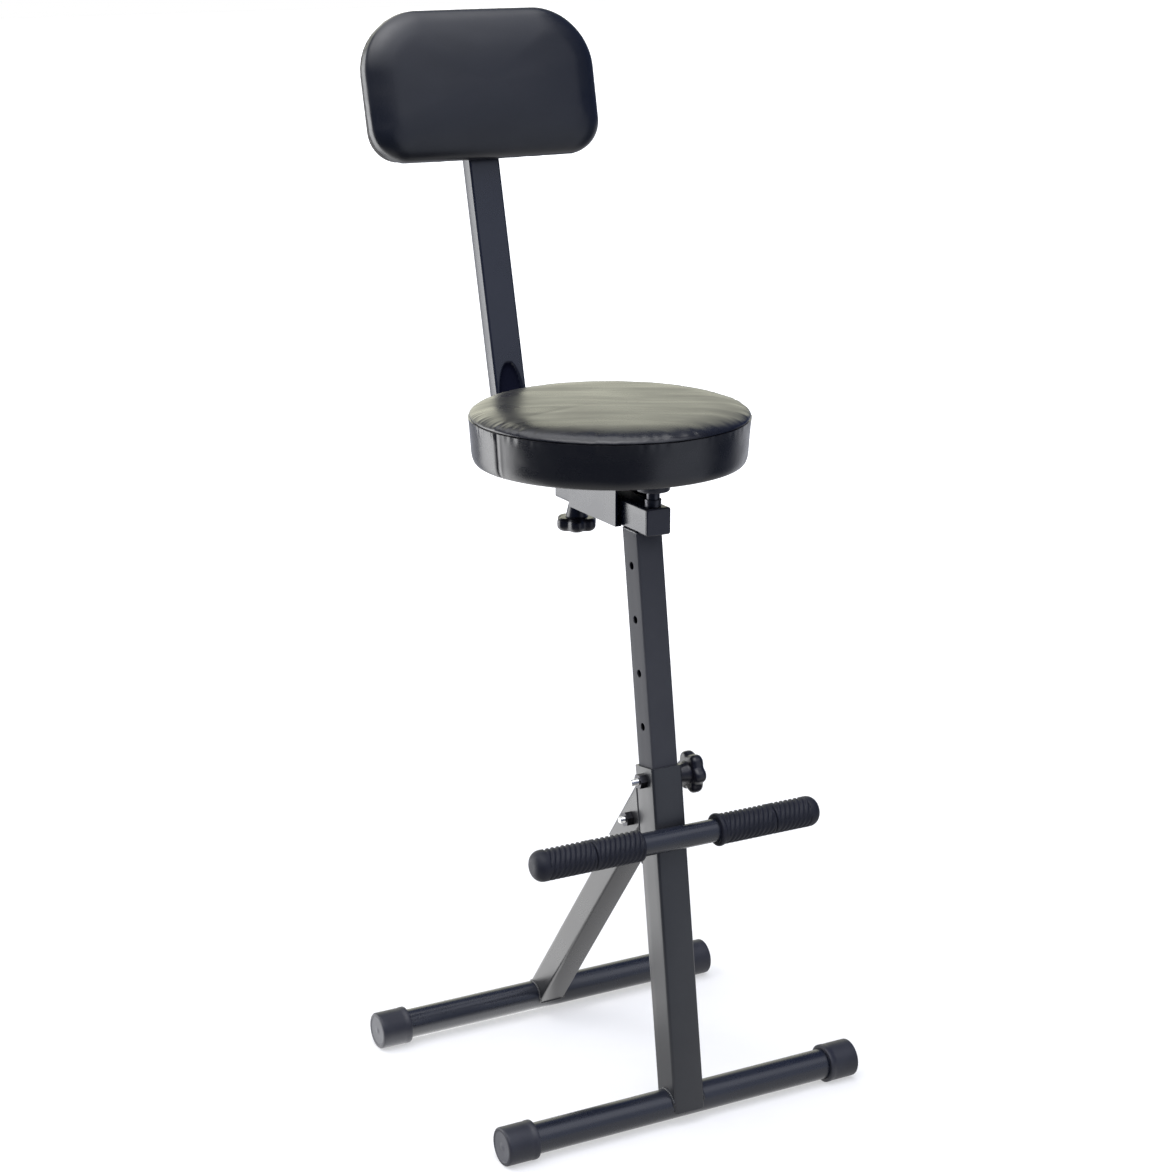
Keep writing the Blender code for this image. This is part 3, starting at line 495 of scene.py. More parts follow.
def rib_shape(first, last):
    """Radius of a ribbed sleeve: ribs wind round it and fade out at its two collars."""
    def reach(radius, height, angle):
        if radius < GRIP_R - 0.05 * MM:
            return radius
        inside = min(smooth_step(height, first + COLLAR_PLAIN, first + COLLAR),
                     1.0 - smooth_step(height, last - COLLAR, last - COLLAR_PLAIN))
        wave = cos(tau * height / RIB_PITCH + RIB_STARTS * angle)
        groove = smooth_step(0.5 - 0.5 * wave, 0.25, 0.85)
        return radius - RIB_DEPTH * groove * inside
    return reach


def grip_profile(length, bore, closed_end, flanged):
    """Section of a grip from its inner end to its outer end, and where its ribs begin and end."""
    lip = GRIP_LIP
    first = FLANGE_T if flanged else 0.0
    last = length
    rim = (GRIP_R + FLANGE if flanged else GRIP_R) - lip
    mouth = [(bore, 0.0)] + arc((rim, lip), lip, -QUARTER, QUARTER, 4)
    if flanged:
        mouth += arc((rim, first - lip), lip, 0.0, QUARTER, 4) + [(GRIP_R, first)]
    if closed_end:
        last = length - GRIP_DOME
        tail = arc((GRIP_R - GRIP_DOME, last), GRIP_DOME, 0.0, QUARTER, 10) + [(POLE, length)]
        floor = length - GRIP_END_T
        return [(POLE, floor), (bore, floor)] + mouth + tail, first, last
    tail = arc((GRIP_R - lip, length - lip), lip, 0.0, QUARTER, 4)
    return [(bore, length)] + mouth + tail, first, last


def add_grip(node, closed_end, sign):
    low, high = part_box(node)
    centre = middle(node)
    start = Vector((low.x if sign > 0 else high.x, centre.y, centre.z))
    flanged = high.z - low.z > 2 * GRIP_R + MM
    profile, first, last = grip_profile(high.x - low.x, REST_BAR_D / 2 + GAP, closed_end, flanged)
    shape = rib_shape(first, last)
    rings = turned_rings(dense(profile, RIB_ROW), start, (sign, 0.0, 0.0), RIB_STEPS, shape)
    grip = rings_piece(node + "_ribbed", rings, GRIP, not closed_end)
    finish_piece(grip, "base", "ribbed_grip_rubber", node)


for end, sign in (("left_outer", -1), ("left_inner", -1), ("right_inner", 1), ("right_outer", 1)):
    add_grip(f"footrest_grip_{end}", end.endswith("outer"), sign)


# Star knobs: six lobes on a hub that widens towards the head

KNOB_R = 24.0 * MM
KNOB_T = 15.0 * MM
KNOB_LOBES = 6
KNOB_SCALLOP = 4.0 * MM
KNOB_STEPS = 144
HUB_R = 9.5 * MM
HUB_WIDE_R = 12.5 * MM
HUB_H = 15.0 * MM
HUB_EDGE = 0.8 * MM
KNOB_UNDER = 5.0 * MM
KNOB_OVER = 6.5 * MM
KNOB_BORE = 4.3 * MM
KNOB_BORE_DEEP = 12.0 * MM


def lobes(radius, height, angle):
    """The lobes fade out towards the hub and the middle of the face."""
    share = smooth_step(radius, HUB_WIDE_R, KNOB_R - 4.0 * MM)
    notch = (0.5 - 0.5 * cos(KNOB_LOBES * angle)) ** 1.4
    return radius - KNOB_SCALLOP * notch * share


def knob_profile():
    top = HUB_H + KNOB_T
    profile = [(POLE, KNOB_BORE_DEEP), (KNOB_BORE, KNOB_BORE_DEEP), (KNOB_BORE, 0.0)]
    profile += arc((HUB_R - HUB_EDGE, HUB_EDGE), HUB_EDGE, -QUARTER, QUARTER, 3)
    profile += [(HUB_WIDE_R, HUB_H - 1.0 * MM), (HUB_WIDE_R + 1.2 * MM, HUB_H)]
    profile += arc((KNOB_R - KNOB_UNDER, HUB_H + KNOB_UNDER), KNOB_UNDER, -QUARTER, QUARTER, 7)
    profile += arc((KNOB_R - KNOB_OVER, top - KNOB_OVER), KNOB_OVER, 0.0, QUARTER, 9)
    profile += [(11.6 * MM, top), (11.0 * MM, top - 0.9 * MM), (10.2 * MM, top - 0.9 * MM)]
    profile += [(9.6 * MM, top - 0.2 * MM), (6.0 * MM, top), (POLE, top + 0.1 * MM)]
    return profile


def add_knob(node, foot, direction):
    rings = turned_rings(dense(knob_profile(), 1.6 * MM), foot, direction, KNOB_STEPS, lobes)
    finish_piece(rings_piece(node + "_star", rings, PLASTIC), node, "black_plastic", node)


add_knob("height_knob", Vector((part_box("height_knob")[0].x, LOCK.y, LOCK.z)), (1.0, 0.0, 0.0))
add_knob("backrest_knob", Vector((0.0, CLAMP.y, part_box("backrest_knob")[1].z)), (0.0, 0.0, -1.0))


# Threaded screws and the pivot bolt

SCREW_R = 4.0 * MM
THREAD_PITCH = 1.25 * MM
THREAD_DEPTH = 0.55 * MM
THREAD_STEPS = 32
BOLT_THREAD = 22.0 * MM
BOLT_HEAD = 5.3 * MM
BOLT_FLATS = 7.5 * MM
BOLT_STEPS = 48


def thread_shape(first, last):
    """Radius of a screw whose thread winds from one height to another."""
    def reach(radius, height, angle):
        if radius < SCREW_R - 0.1 * MM:
            return radius
        turn = (height / THREAD_PITCH + angle / tau) % 1.0
        tooth = abs(2.0 * turn - 1.0)
        inside = smooth_step(height, first, first + MM) * (1.0 - smooth_step(height, last - MM, last))
        return radius - THREAD_DEPTH * tooth * inside
    return reach


def screw_profile(length):
    shaft = [(POLE, 0.0), (SCREW_R, 0.0), (SCREW_R, length - MM)]
    return shaft + [(SCREW_R - MM, length), (POLE, length)]


def add_stud(node, body, start, direction, length):
    profile = dense(screw_profile(length), 0.22 * MM)
    rings = turned_rings(profile, start, direction, THREAD_STEPS, thread_shape(0.0, length))
    finish_piece(rings_piece(node + "_threaded", rings, ZINC), body, "bright_zinc", node)


def bolt_shape(shank):
    """Radius of a bolt: a six-sided head below its shoulder and a thread at its far end."""
    screw = thread_shape(shank - BOLT_THREAD, shank)

    def reach(radius, height, angle):
        if radius <= SCREW_R + 0.1 * MM:
            return screw(radius, height, angle) if height > 0.0 else radius
        sector = tau / 6
        turn = (angle + sector / 2) % sector - sector / 2
        return radius * min(1.0 / cos(turn), 1.12)
    return reach


def add_pivot_bolt():
    low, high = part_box("pivot_bolt")
    shank = high.x - low.x - BOLT_HEAD
    head = [(POLE, -BOLT_HEAD), (BOLT_FLATS * 0.86, -BOLT_HEAD), (BOLT_FLATS, 0.7 * MM - BOLT_HEAD)]
    profile = dense(head + [(BOLT_FLATS, 0.0)] + screw_profile(shank)[1:], 0.3 * MM)
    start = Vector((high.x - BOLT_HEAD, PIVOT.y, PIVOT.z))
    rings = turned_rings(profile, start, (-1.0, 0.0, 0.0), BOLT_STEPS, bolt_shape(shank))
    finish_piece(rings_piece("pivot_bolt_threaded", rings, ZINC), "base", "bright_zinc", "pivot_bolt")


tip_low, tip_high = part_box("lock_screw_end")
add_stud("lock_screw_end", "base", Vector((tip_high.x, LOCK.y, LOCK.z)), (-1.0, 0.0, 0.0),
         tip_high.x - tip_low.x)
tip_low, tip_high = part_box("backrest_screw")
add_stud("backrest_screw", "backrest_knob", Vector((0.0, CLAMP.y, tip_low.z)), (0.0, 0.0, 1.0),
         tip_high.z - tip_low.z)
add_pivot_bolt()


# Weld beads

BEAD_STEP = 0.55 * MM
BEAD_RIPPLE = 2.3 * MM
BEAD_SIDES = 10
POST_BEAD = 2.0 * MM
LEG_BEAD = 1.6 * MM
TUBE_BEAD = 1.5 * MM
THIN_BEAD = 1.3 * MM
TACK_BEAD = 1.1 * MM
TACK_HALF = 13 * MM
REST_BEAD_RISE = 6.6 * MM


def bead_line(path):
    """Points along a path, a bead step apart."""
    line = [Vector(point) for point in path]
    points = [line[0]]
    for start, end in zip(line, line[1:]):
        count = max(1, ceil((end - start).length / BEAD_STEP))
        points += [start.lerp(end, index / count) for index in range(1, count + 1)]
    return points


def add_weld(name, path, radius, body, material):
    """A rippled bead along a path, thin at its two ends."""
    points = bead_line(path)
    last = len(points) - 1
    run = 0.0
    rings = []
    for index, point in enumerate(points):
        before = points[max(index - 1, 0)]
        after = points[min(index + 1, last)]
        run += (point - before).length
        _, side, up = axes_of(after - before)
        to_end = min(index, last - index) * BEAD_STEP
        swell = 0.84 + 0.16 * abs(sin(pi * run / BEAD_RIPPLE)) + 0.10 * noise.noise(point * 400.0)
        reach = radius * swell * max(0.25, sqrt(min(1.0, to_end / (2.0 * radius))))
        turns = [tau * step / BEAD_SIDES for step in range(BEAD_SIDES)]
        rings.append([point + (side * cos(turn) + up * sin(turn)) * reach for turn in turns])
    finish_piece(rings_piece(name, rings, material, sharp_angle=pi), body, "black_powder_coat")


def on(place, points):
    return [place @ Vector(point) for point in points]


def side_arc(x, height, radius, start, sweep):
    return [(x, y, z + height) for y, z in arc((0.0, 0.0), radius, start, sweep, 24)]


def across(half, y, z):
    return [(x, y, z) for x in (-half, 0.0, half)]


half_post = POST_W / 2
half_leg = LEG_W / 2
half_arm = ARM_W / 2
bar_reach = FOOT_BAR_D / 2 + GAP
saddle = acos(half_leg / bar_reach)
rest_rise = (POST_FRAME.inverted() @ middle("footrest_bar")).z
saddle_rise = bar_reach * sin(saddle) - LEG_LENGTH
for side, sign in LEFT_RIGHT:
    foot = side_arc(sign * half_post, 0.0, bar_reach, 0.05, pi - 0.1)
    add_weld(f"weld_post_foot_{side}", on(POST_FRAME, foot), POST_BEAD, "base", POST_STEEL)
    foot = side_arc(sign * half_leg, -LEG_LENGTH, bar_reach, saddle, pi - 2 * saddle)
    add_weld(f"weld_leg_foot_{side}", on(LEG_FRAME, foot), LEG_BEAD, "rear_leg", LIT_LEG_STEEL)
for side, sign in FRONT_REAR:
    line = across(half_post - 2.5 * MM, sign * half_post * 0.94, -POST_SKIRT - 0.4 * MM)
    add_weld(f"weld_post_skirt_{side}", on(POST_FRAME, line), THIN_BEAD, "base", POST_STEEL)
    line = across(half_leg - 1.5 * MM, sign * half_leg, saddle_rise)
    add_weld(f"weld_leg_saddle_{side}", on(LEG_FRAME, line), TUBE_BEAD, "rear_leg", LIT_LEG_STEEL)
for side, sign in (("upper", 1), ("lower", -1)):
    line = across(half_post - 1.5 * MM, -half_post - 1.1 * MM, rest_rise + sign * REST_BEAD_RISE)
    add_weld(f"weld_footrest_{side}", on(POST_FRAME, line), POST_BEAD, "base", STEEL)

arm_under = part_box("seat_arm")[0].z
arm_y = FRONT_BAR.y + tan(POST_LEAN) * (arm_under - FRONT_BAR.z)
half_cut = COLUMN_W / 2 / cos(POST_LEAN)
for side, sign in LEFT_RIGHT:
    line = [(sign * half_arm, arm_y + y, arm_under - 0.5 * MM) for y in (-half_cut, 0.0, half_cut)]
    add_weld(f"weld_arm_{side}", line, TUBE_BEAD, "seat_column", STEEL)
for side, sign in FRONT_REAR:
    line = across(half_arm - 1.5 * MM, arm_y + sign * half_cut, arm_under - 0.5 * MM)
    add_weld(f"weld_arm_{side}", line, TUBE_BEAD, "seat_column", STEEL)

ear_low, ear_high = box_in("leg_bracket", POST_FRAME)
for side, sign in LEFT_RIGHT:
    x = sign * (half_post - 0.9 * MM)
    line = [(x, half_post + 0.2 * MM, z) for z in (ear_low.z + 2 * MM, ear_high.z - 2 * MM)]
    add_weld(f"weld_bracket_{side}", on(POST_FRAME, line), THIN_BEAD, "base", POST_STEEL)

channel_low, channel_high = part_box("seat_channel")
for side, sign in LEFT_RIGHT:
    for end, share in (("front", 0.22), ("rear", 0.78)):
        y = channel_low.y + share * (channel_high.y - channel_low.y)
        line = [(sign * half_arm, y + step, arm_under - 0.2 * MM) for step in (-TACK_HALF, TACK_HALF)]
        add_weld(f"weld_channel_{side}_{end}", line, TACK_BEAD, "seat_column", STEEL)


# Small screws that hold the plate to the seat board and the tube to the back board

BUTTON_R = 5.4 * MM
BUTTON_STEPS = 36
PLATE_SCREW_X = 55.0 * MM
PLATE_SCREW_INSET = 18.0 * MM


def add_button_screw(name, place, direction, body):
    profile = [(POLE, -1.0 * MM), (BUTTON_R, -1.0 * MM), (BUTTON_R, 0.4 * MM)]
    profile += [(BUTTON_R * cos(t), (0.4 + 2.4 * sin(t)) * MM) for t in np.linspace(0.1, 1.12, 7)]
    profile += [(2.0 * MM, 2.5 * MM), (1.8 * MM, 1.2 * MM), (POLE, 1.1 * MM)]
    rings = turned_rings(profile, place, direction, BUTTON_STEPS)
    finish_piece(rings_piece(name, rings, BLACK_ZINC), body, "black_zinc")


pad_low, pad_high = box_in("back_cushion", RISER_FRAME)
plate_low, plate_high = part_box("seat_plate")
riser_back = RISER_FRAME.to_3x3() @ Vector((0.0, 1.0, 0.0))
for side, sign in LEFT_RIGHT:
    for end, y in (("front", plate_low.y + PLATE_SCREW_INSET), ("rear", plate_high.y - PLATE_SCREW_INSET)):
        place = Vector((sign * PLATE_SCREW_X, y, plate_low.z))
        add_button_screw(f"plate_screw_{side}_{end}", place, (0.0, 0.0, -1.0), "seat_column")
for level, rise in (("lower", 30.0 * MM), ("upper", 100.0 * MM)):
    place = RISER_FRAME @ Vector((0.0, BACK_TUBE_D / 2, pad_low.z + rise))
    add_button_screw(f"back_screw_{level}", place, riser_back, "backrest")


# Back tube: a flat tube bent into an L, with a pressed hollow where the riser's front leaves the bend, whose
# deep faces get a darker, duller coat as painted shade

TUBE_CORNER = 3.0 * MM
TUBE_BORE_DEEP = 30.0 * MM
HOLLOW_TOP = 46.0 * MM
HOLLOW_HALF = 17.0 * MM
HOLLOW_DEPTH = 5.0 * MM
HOLLOW_LIP = 5.0 * MM
HOLLOW_TAIL = (4.0 * MM, 26.0 * MM)
FINE_RISE = 60.0 * MM


def tube_section(inset):
    """A rounded oblong round the tube's axis, as points across and towards the inside of the bend."""
    x = BACK_TUBE_W / 2 - inset
    n = BACK_TUBE_D / 2 - inset
    corner = TUBE_CORNER - inset
    points = []
    for centre_x, centre_n, start in ((1, 1, 0), (-1, 1, 1), (-1, -1, 2), (1, -1, 3)):
        centre = (centre_x * (x - corner), centre_n * (n - corner))
        points += arc(centre, corner, start * QUARTER, QUARTER, 6)
        if start in (0, 2):
            face = centre_n * n
            points += [(centre_x * t, face) for t in np.linspace(x - corner, corner - x, 26)[1:-1]]
    return points


def tube_path():
    """Points, headings and heights above the bend's end along the tube's axis, from front to top."""
    turn = QUARTER - BACK_LEAN
    run = BACK_BEND * tan(turn / 2)
    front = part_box("back_tube")[0].y - BACK_CORNER.y
    length = box_in("back_tube", RISER_FRAME)[1].z - run
    rows = [(Vector((0.0, y, 0.0)), 0.0, -1.0) for y in np.linspace(front, -run, 12)]
    for angle in np.linspace(0.0, turn, 24)[1:]:
        bend = Vector((0.0, -run + BACK_BEND * sin(angle), BACK_BEND * (1.0 - cos(angle))))
        rows.append((bend, angle, (angle - turn) * BACK_BEND))
    riser = Vector((0.0, cos(turn), sin(turn)))
    fine = np.linspace(0.0, FINE_RISE, 40)[1:]
    for along in np.concatenate((fine, np.linspace(FINE_RISE, length, 20)[1:])):
        rows.append((riser * (run + along), turn, along))
    return rows


def hollow(x, above):
    """Depth of the pressed hollow: an arch on the riser's front that runs out in the bend below."""
    rise = max(above, 0.0) / HOLLOW_TOP
    below = 1.0 - smooth_step(-above, *HOLLOW_TAIL)
    if rise >= 1.0 or above <= -HOLLOW_TAIL[1]:
        return 0.0
    reach = HOLLOW_HALF * sqrt(1.0 - rise ** 2)
    inside = min(reach - abs(x), (HOLLOW_TOP - above) * 0.7)
    return HOLLOW_DEPTH * below * smooth_step(inside, 0.0, HOLLOW_LIP)


def tube_ring(point, heading, above, inset):
    inward = Vector((0.0, -sin(heading), cos(heading)))
    ring = []
    for x, n in tube_section(inset):
        depth = hollow(x, above) if n > BACK_TUBE_D / 2 - TUBE_CORNER / 2 and inset == 0.0 else 0.0
        ring.append(BACK_CORNER + point + Vector((x, 0.0, 0.0)) + inward * (n - depth))
    return ring


def add_back_tube():
    path = tube_path()
    rings = [tube_ring(*row, 0.0) for row in path]
    for end, (point, heading, above) in ((0, path[0]), (-1, path[-1])):
        along = Vector((0.0, cos(heading), sin(heading))) * (1 if end == 0 else -1)
        mouth = tube_ring(point, heading, above, BACK_TUBE_WALL)
        deep = [p + along * TUBE_BORE_DEEP for p in mouth]
        rings = [deep, mouth] + rings if end == 0 else rings + [mouth, deep]
    tube = rings_piece("back_tube_bent", rings, STEEL)
    # The deep faces of the hollow get the darker, duller coat: painted shade
    tube.data.materials.append(SHADED_HOLLOW_STEEL)
    steps = len(rings[0])
    for face in tube.data.polygons:
        ring, column = divmod(face.vertices[0], steps)
        if 2 <= ring < len(path) + 1:
            x, n = tube_section(0.0)[column]
            in_painted_shade = n > BACK_TUBE_D / 2 - MM and hollow(x, path[ring - 2][2]) > 0.3 * HOLLOW_DEPTH
            face.material_index = 1 if in_painted_shade else 0
    finish_piece(tube, "backrest", "black_powder_coat", "back_tube")


add_back_tube()


# Cushion covers: a grid of points is let swell as cloth under pressure, and sewn details come after

SWELL_FRAMES = 20
SWELL_PRESSURE = 4.0
SMALL_RING = 60.0 * MM


def evened(start, moves, passes):
    """Moves averaged with those beside them, and round each small ring, which takes out fine creases."""
    for _ in range(passes):
        moves = (2.0 * moves + np.roll(moves, 1, axis=1) + np.roll(moves, -1, axis=1)) / 4.0
        moves[1:-1] = (2.0 * moves[1:-1] + moves[:-2] + moves[2:]) / 4.0
        moves[-1] = moves[-2]
    ring_size = np.linalg.norm(start - start.mean(axis=1, keepdims=True), axis=2).mean(axis=1)
    own = np.minimum(ring_size / SMALL_RING, 1.0)[:, None, None]
    common = moves.mean(axis=1, keepdims=True)
    return common + (moves - common) * own


def swollen(grid, held, slack, bending, cap, passes):
    """The grid after its cover was blown up as cloth, with held rows pinned and all moves scaled to a cap."""
    start = grid[::2, ::2]
    rows, steps = start.shape[:2]
    cover = bare_mesh("cover", start.reshape(-1, 3), skin(start))
    group = cover.vertex_groups.new(name="held")
    for row in range(rows):
        if held[2 * row]:
            group.add(list(range(row * steps, (row + 1) * steps)), 1.0, "REPLACE")
    settings = cover.modifiers.new("stuffing", "CLOTH").settings
    settings.vertex_group_mass = "held"
    settings.use_pressure = True
    settings.uniform_pressure_force = SWELL_PRESSURE
    settings.effector_weights.gravity = 0.0
    settings.shrink_min = -slack
    settings.bending_stiffness = bending
    for number in range(1, SWELL_FRAMES + 1):
        bpy.context.scene.frame_set(number)
    settled = cover.evaluated_get(bpy.context.evaluated_depsgraph_get())
    moves = np.array([vertex.co for vertex in settled.data.vertices]).reshape(start.shape) - start
    bpy.data.objects.remove(cover)
    bpy.context.scene.frame_set(1)
    moves = evened(start, moves, passes)
    moves *= min(1.0, cap / np.linalg.norm(moves, axis=2).max())
    spread = np.zeros(grid.shape)
    spread[::2, ::2] = moves
    spread[::2, 1::2] = (moves + np.roll(moves, -1, axis=1)) / 2
    spread[1::2] = (spread[:-1:2] + spread[2::2]) / 2
    return grid + spread


# Seat cushion: boxed round pad with a sewn top seam and one upright seam in its band

SEAT_R = size("seat_cushion").x / 2
POCKET_R = size("seat_board").x / 2 + GAP
POCKET_T = size("seat_board").z + GAP
SEAT_BAND = 49.5 * MM
SEAT_CROWN = 13.0 * MM
SEAT_SHOULDER = 44.0 * MM
SEAT_DOME = 0.5 * MM
SEAT_TUCK_H = 12.0 * MM
SEAT_STEPS = 400
SEAM_ANGLE = radians(189.5)
SEAM_CROWDING = 1.3
# Rings of the top seam: millimetres in from the side and above the band
SEAM_RINGS = ((1.8, 0.5), (2.3, 0.9), (1.7, 1.3))
SEAM_TOP = 1.6 * MM
BAND_INSET = 0.5 * MM
BAND_PUCKER = 1.1 * MM
BAND_PUCKER_REACH = 11.0 * MM
BAND_SLACK = 0.7 * MM
TOP_PUCKER = 1.2 * MM
TOP_PUCKER_REACH = 22.0 * MM
TOP_STREAK = 0.35 * MM
TOP_SLACK = 0.9 * MM
TOP_FLAT = (105.0 * MM, 150.0 * MM)
# Depth and width of the upright seam's dip and stitch line, and of the puff beside it
SEAM_DIP = (0.55 * MM, 2.4 * MM)
SEAM_LINE = (0.5 * MM, 0.6 * MM)
SEAM_PUFF = (0.4 * MM, 3.0 * MM)
SEAM_PUFF_OFF = 6.0 * MM
SEAT_SLACK = 0.006
SEAT_BENDING = 0.5
SEAT_SWELL = 2.2 * MM
SEAT_EVENING = 1


def seat_profile():
    """Radius, height and kind of each ring from the middle of the pocket to the middle of the top."""
    rows = [(0.5 * MM, POCKET_T, "pocket"), (POCKET_R, POCKET_T, "pocket"), (POCKET_R, 0.0, "pocket")]
    half_tuck = (SEAT_R - POCKET_R - 0.8 * MM) / 2
    rounding = [SEAT_TUCK_H * (1.0 - cos(t)) for t in np.linspace(0.0, QUARTER, 10)]
    for height in rounding + list(np.linspace(SEAT_TUCK_H, SEAT_BAND, 13)[1:]):
        taper = half_tuck * (1.0 - height / SEAT_BAND)
        share = max(1.0 - height / SEAT_TUCK_H, 0.0)
        tuck = half_tuck * (1.0 - sqrt(1.0 - share ** 2))
        rows.append((SEAT_R - BAND_INSET - taper - tuck, height, "band"))
    rows += [(SEAT_R - inset * MM, SEAT_BAND + rise * MM, "seam") for inset, rise in SEAM_RINGS]
    rim = SEAT_R - 0.9 * MM
    for share in np.linspace(0.0, 0.985, 45):
        radius = rim * sqrt(1.0 - share ** 2)
        inward = min((rim - radius) / SEAT_SHOULDER, 1.0)
        shoulder = (SEAT_CROWN - SEAT_DOME - SEAM_TOP) * sqrt(1.0 - (1.0 - inward) ** 2)
        rows.append((radius, SEAT_BAND + SEAM_TOP + shoulder + SEAT_DOME * share ** 2, "top"))
    rows += [(12.0 * MM, SEAT_BAND + SEAT_CROWN, "top"), (0.5 * MM, SEAT_BAND + SEAT_CROWN, "top")]
    return rows


def seat_angles():
    """Angles round the seat, closer together at the upright seam."""
    shares = np.linspace(-1.0, 1.0, SEAT_STEPS, endpoint=False)
    return SEAM_ANGLE + pi * np.sign(shares) * np.abs(shares) ** SEAM_CROWDING


def seat_detail(radius, height, kind, angle):
    """Moves outward and upward that sew a point in: puckers at the seams, the upright seam and slack."""
    fold = max(wander(angle, 17.0, 1.3) + 0.7 * wander(angle, 38.0, 7.1), -0.5)
    strength = 0.7 + 0.6 * wander(angle, 2.3, 3.9)
    out = 0.0
    up = 0.0
    if kind == "band":
        near = 1.0 - smooth_step(SEAT_BAND - height, 0.0, BAND_PUCKER_REACH)
        out += BAND_PUCKER * fold * strength * near
        out += BAND_SLACK * wander(angle, 3.2, 4.4) * sin(pi * height / SEAT_BAND)
        off = abs((angle - SEAM_ANGLE + pi) % tau - pi) * SEAT_R
        out -= bell(off, *SEAM_DIP) + bell(off, *SEAM_LINE)
        out += bell(off - SEAM_PUFF_OFF, *SEAM_PUFF)
    elif kind == "seam":
        out += 0.4 * MM * fold
    elif kind == "top":
        inward = SEAT_R - radius
        edge = (1.0 - smooth_step(inward, 0.0, TOP_PUCKER_REACH)) * smooth_step(inward, 0.0, 4.0 * MM)
        up += TOP_PUCKER * fold * strength * edge
        x = radius * cos(angle)
        y = radius * sin(angle)
        along = radius * cos(angle - STREAK_TURN)
        span = radius * sin(angle - STREAK_TURN)
        flat = 1.0 - smooth_step(radius, *TOP_FLAT)
        up += TOP_STREAK * noise.noise(Vector((along * 9.0, span * 52.0, 2.7))) * flat
        up += TOP_SLACK * noise.noise(Vector((x * 11.0, y * 11.0, 9.2))) * flat
    if kind in ("band", "seam"):
        up += 0.5 * MM * wander(angle, 9.0, 6.6) * smooth_step(height, SEAT_TUCK_H, SEAT_BAND)
    return out, up


def add_seat_cushion():
    rows = seat_profile()
    angles = seat_angles()
    spokes = np.stack((np.cos(angles), np.sin(angles), np.zeros(SEAT_STEPS)), axis=1)
    foot = np.array((SEAT.x, SEAT.y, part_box("seat_cushion")[0].z))
    grid = np.array([spokes * radius + foot + (0.0, 0.0, height) for radius, height, kind in rows])
    held = [kind in ("pocket", "seam") or height == 0.0 for radius, height, kind in rows]
    grid = swollen(grid, held, SEAT_SLACK, SEAT_BENDING, SEAT_SWELL, SEAT_EVENING)
    for row, (radius, height, kind) in enumerate(rows):
        if kind != "pocket":
            sewn = np.array([seat_detail(radius, height, kind, angle) for angle in angles])
            grid[row] += spokes * sewn[:, :1]
            grid[row, :, 2] += sewn[:, 1]
    cushion = rings_piece("seat_cushion_sewn", grid, SEAT_VINYL, sharp_angle=radians(60))
    finish_piece(cushion, "seat_column", "black_vinyl", "seat_cushion")


add_seat_cushion()


# Back cushion: a pad drawn tight over its board, rounder at its top corners

PAD_W = pad_high.x - pad_low.x
PAD_H = pad_high.z - pad_low.z
PAD_REAR = -pad_high.y
PAD_T = 25.0 * MM
PAD_CROWN = 6.0 * MM
PAD_TOP_ROUND = 72.0 * MM
PAD_LOW_ROUND = 40.0 * MM
PAD_FRONT_ROUND = 15.0 * MM
PAD_INNER_ROUND = 24.0 * MM
PAD_REAR_ROUND = 5.0 * MM
PAD_DOME = 30.0 * MM
PAD_FULLNESS = 2.8
PAD_SOFTNESS = 0.53
PAD_CORNER_STEPS = 36
PAD_EDGE_STEPS = 30
PAD_SIDE_BOW = 0.02
PAD_TOP_BOW = 0.012
PAD_SLACK = -0.03
PAD_BENDING = 40.0
PAD_SWELL = 2.0 * MM
PAD_EVENING = 40
PAD_GATHER = (0.5 * MM, 4.0 * MM)
PAD_LOOSE = 0.4 * MM


def pad_outline(inset):
    """The pad's outline, drawn in by an inset, with its points spread over corners and straights."""
    x = PAD_W / 2 / (1.0 + PAD_SIDE_BOW) - inset
    z = PAD_H / 2 / (1.0 + PAD_TOP_BOW) - inset
    top = max(PAD_TOP_ROUND - inset, PAD_INNER_ROUND)
    low = max(PAD_LOW_ROUND - inset, PAD_INNER_ROUND)
    corners = [((x - top, z - top), top, 0.0), ((top - x, z - top), top, QUARTER),
               ((low - x, low - z), low, 2 * QUARTER), ((x - low, low - z), low, 3 * QUARTER)]
    points = []
    for index, corner in enumerate(corners):
        bend = arc(*corner, QUARTER, PAD_CORNER_STEPS)
        head = arc(*corners[(index + 1) % 4], QUARTER, 1)[0]
        points += bend + list(np.linspace(bend[-1], head, PAD_EDGE_STEPS + 1)[1:-1])
    px, pz = np.array(points).T
    side = 1.0 + PAD_SIDE_BOW * (1.0 - (pz / (PAD_H / 2)) ** 2)
    crest = 1.0 + PAD_TOP_BOW * (1.0 - (px / (PAD_W / 2)) ** 2)
    return np.stack((px * side, pz * crest), axis=1)


def pad_ring(inset, share):
    """The outline at an inset, shrunk to a share of itself and turned into an oval on the way."""
    ring = pad_outline(inset)
    half = ring.max(axis=0)
    oval = ring / half
    oval *= half / np.linalg.norm(oval, axis=1)[:, None]
    return share * (ring * share + oval * (1.0 - share))


def dome_rise(inset):
    """Share of the front's height at a distance in from its edge: steep at first, then nearly flat."""
    share = min(inset / (PAD_H / 2), 1.0)
    return (1.0 - (1.0 - share) ** PAD_FULLNESS) ** PAD_SOFTNESS


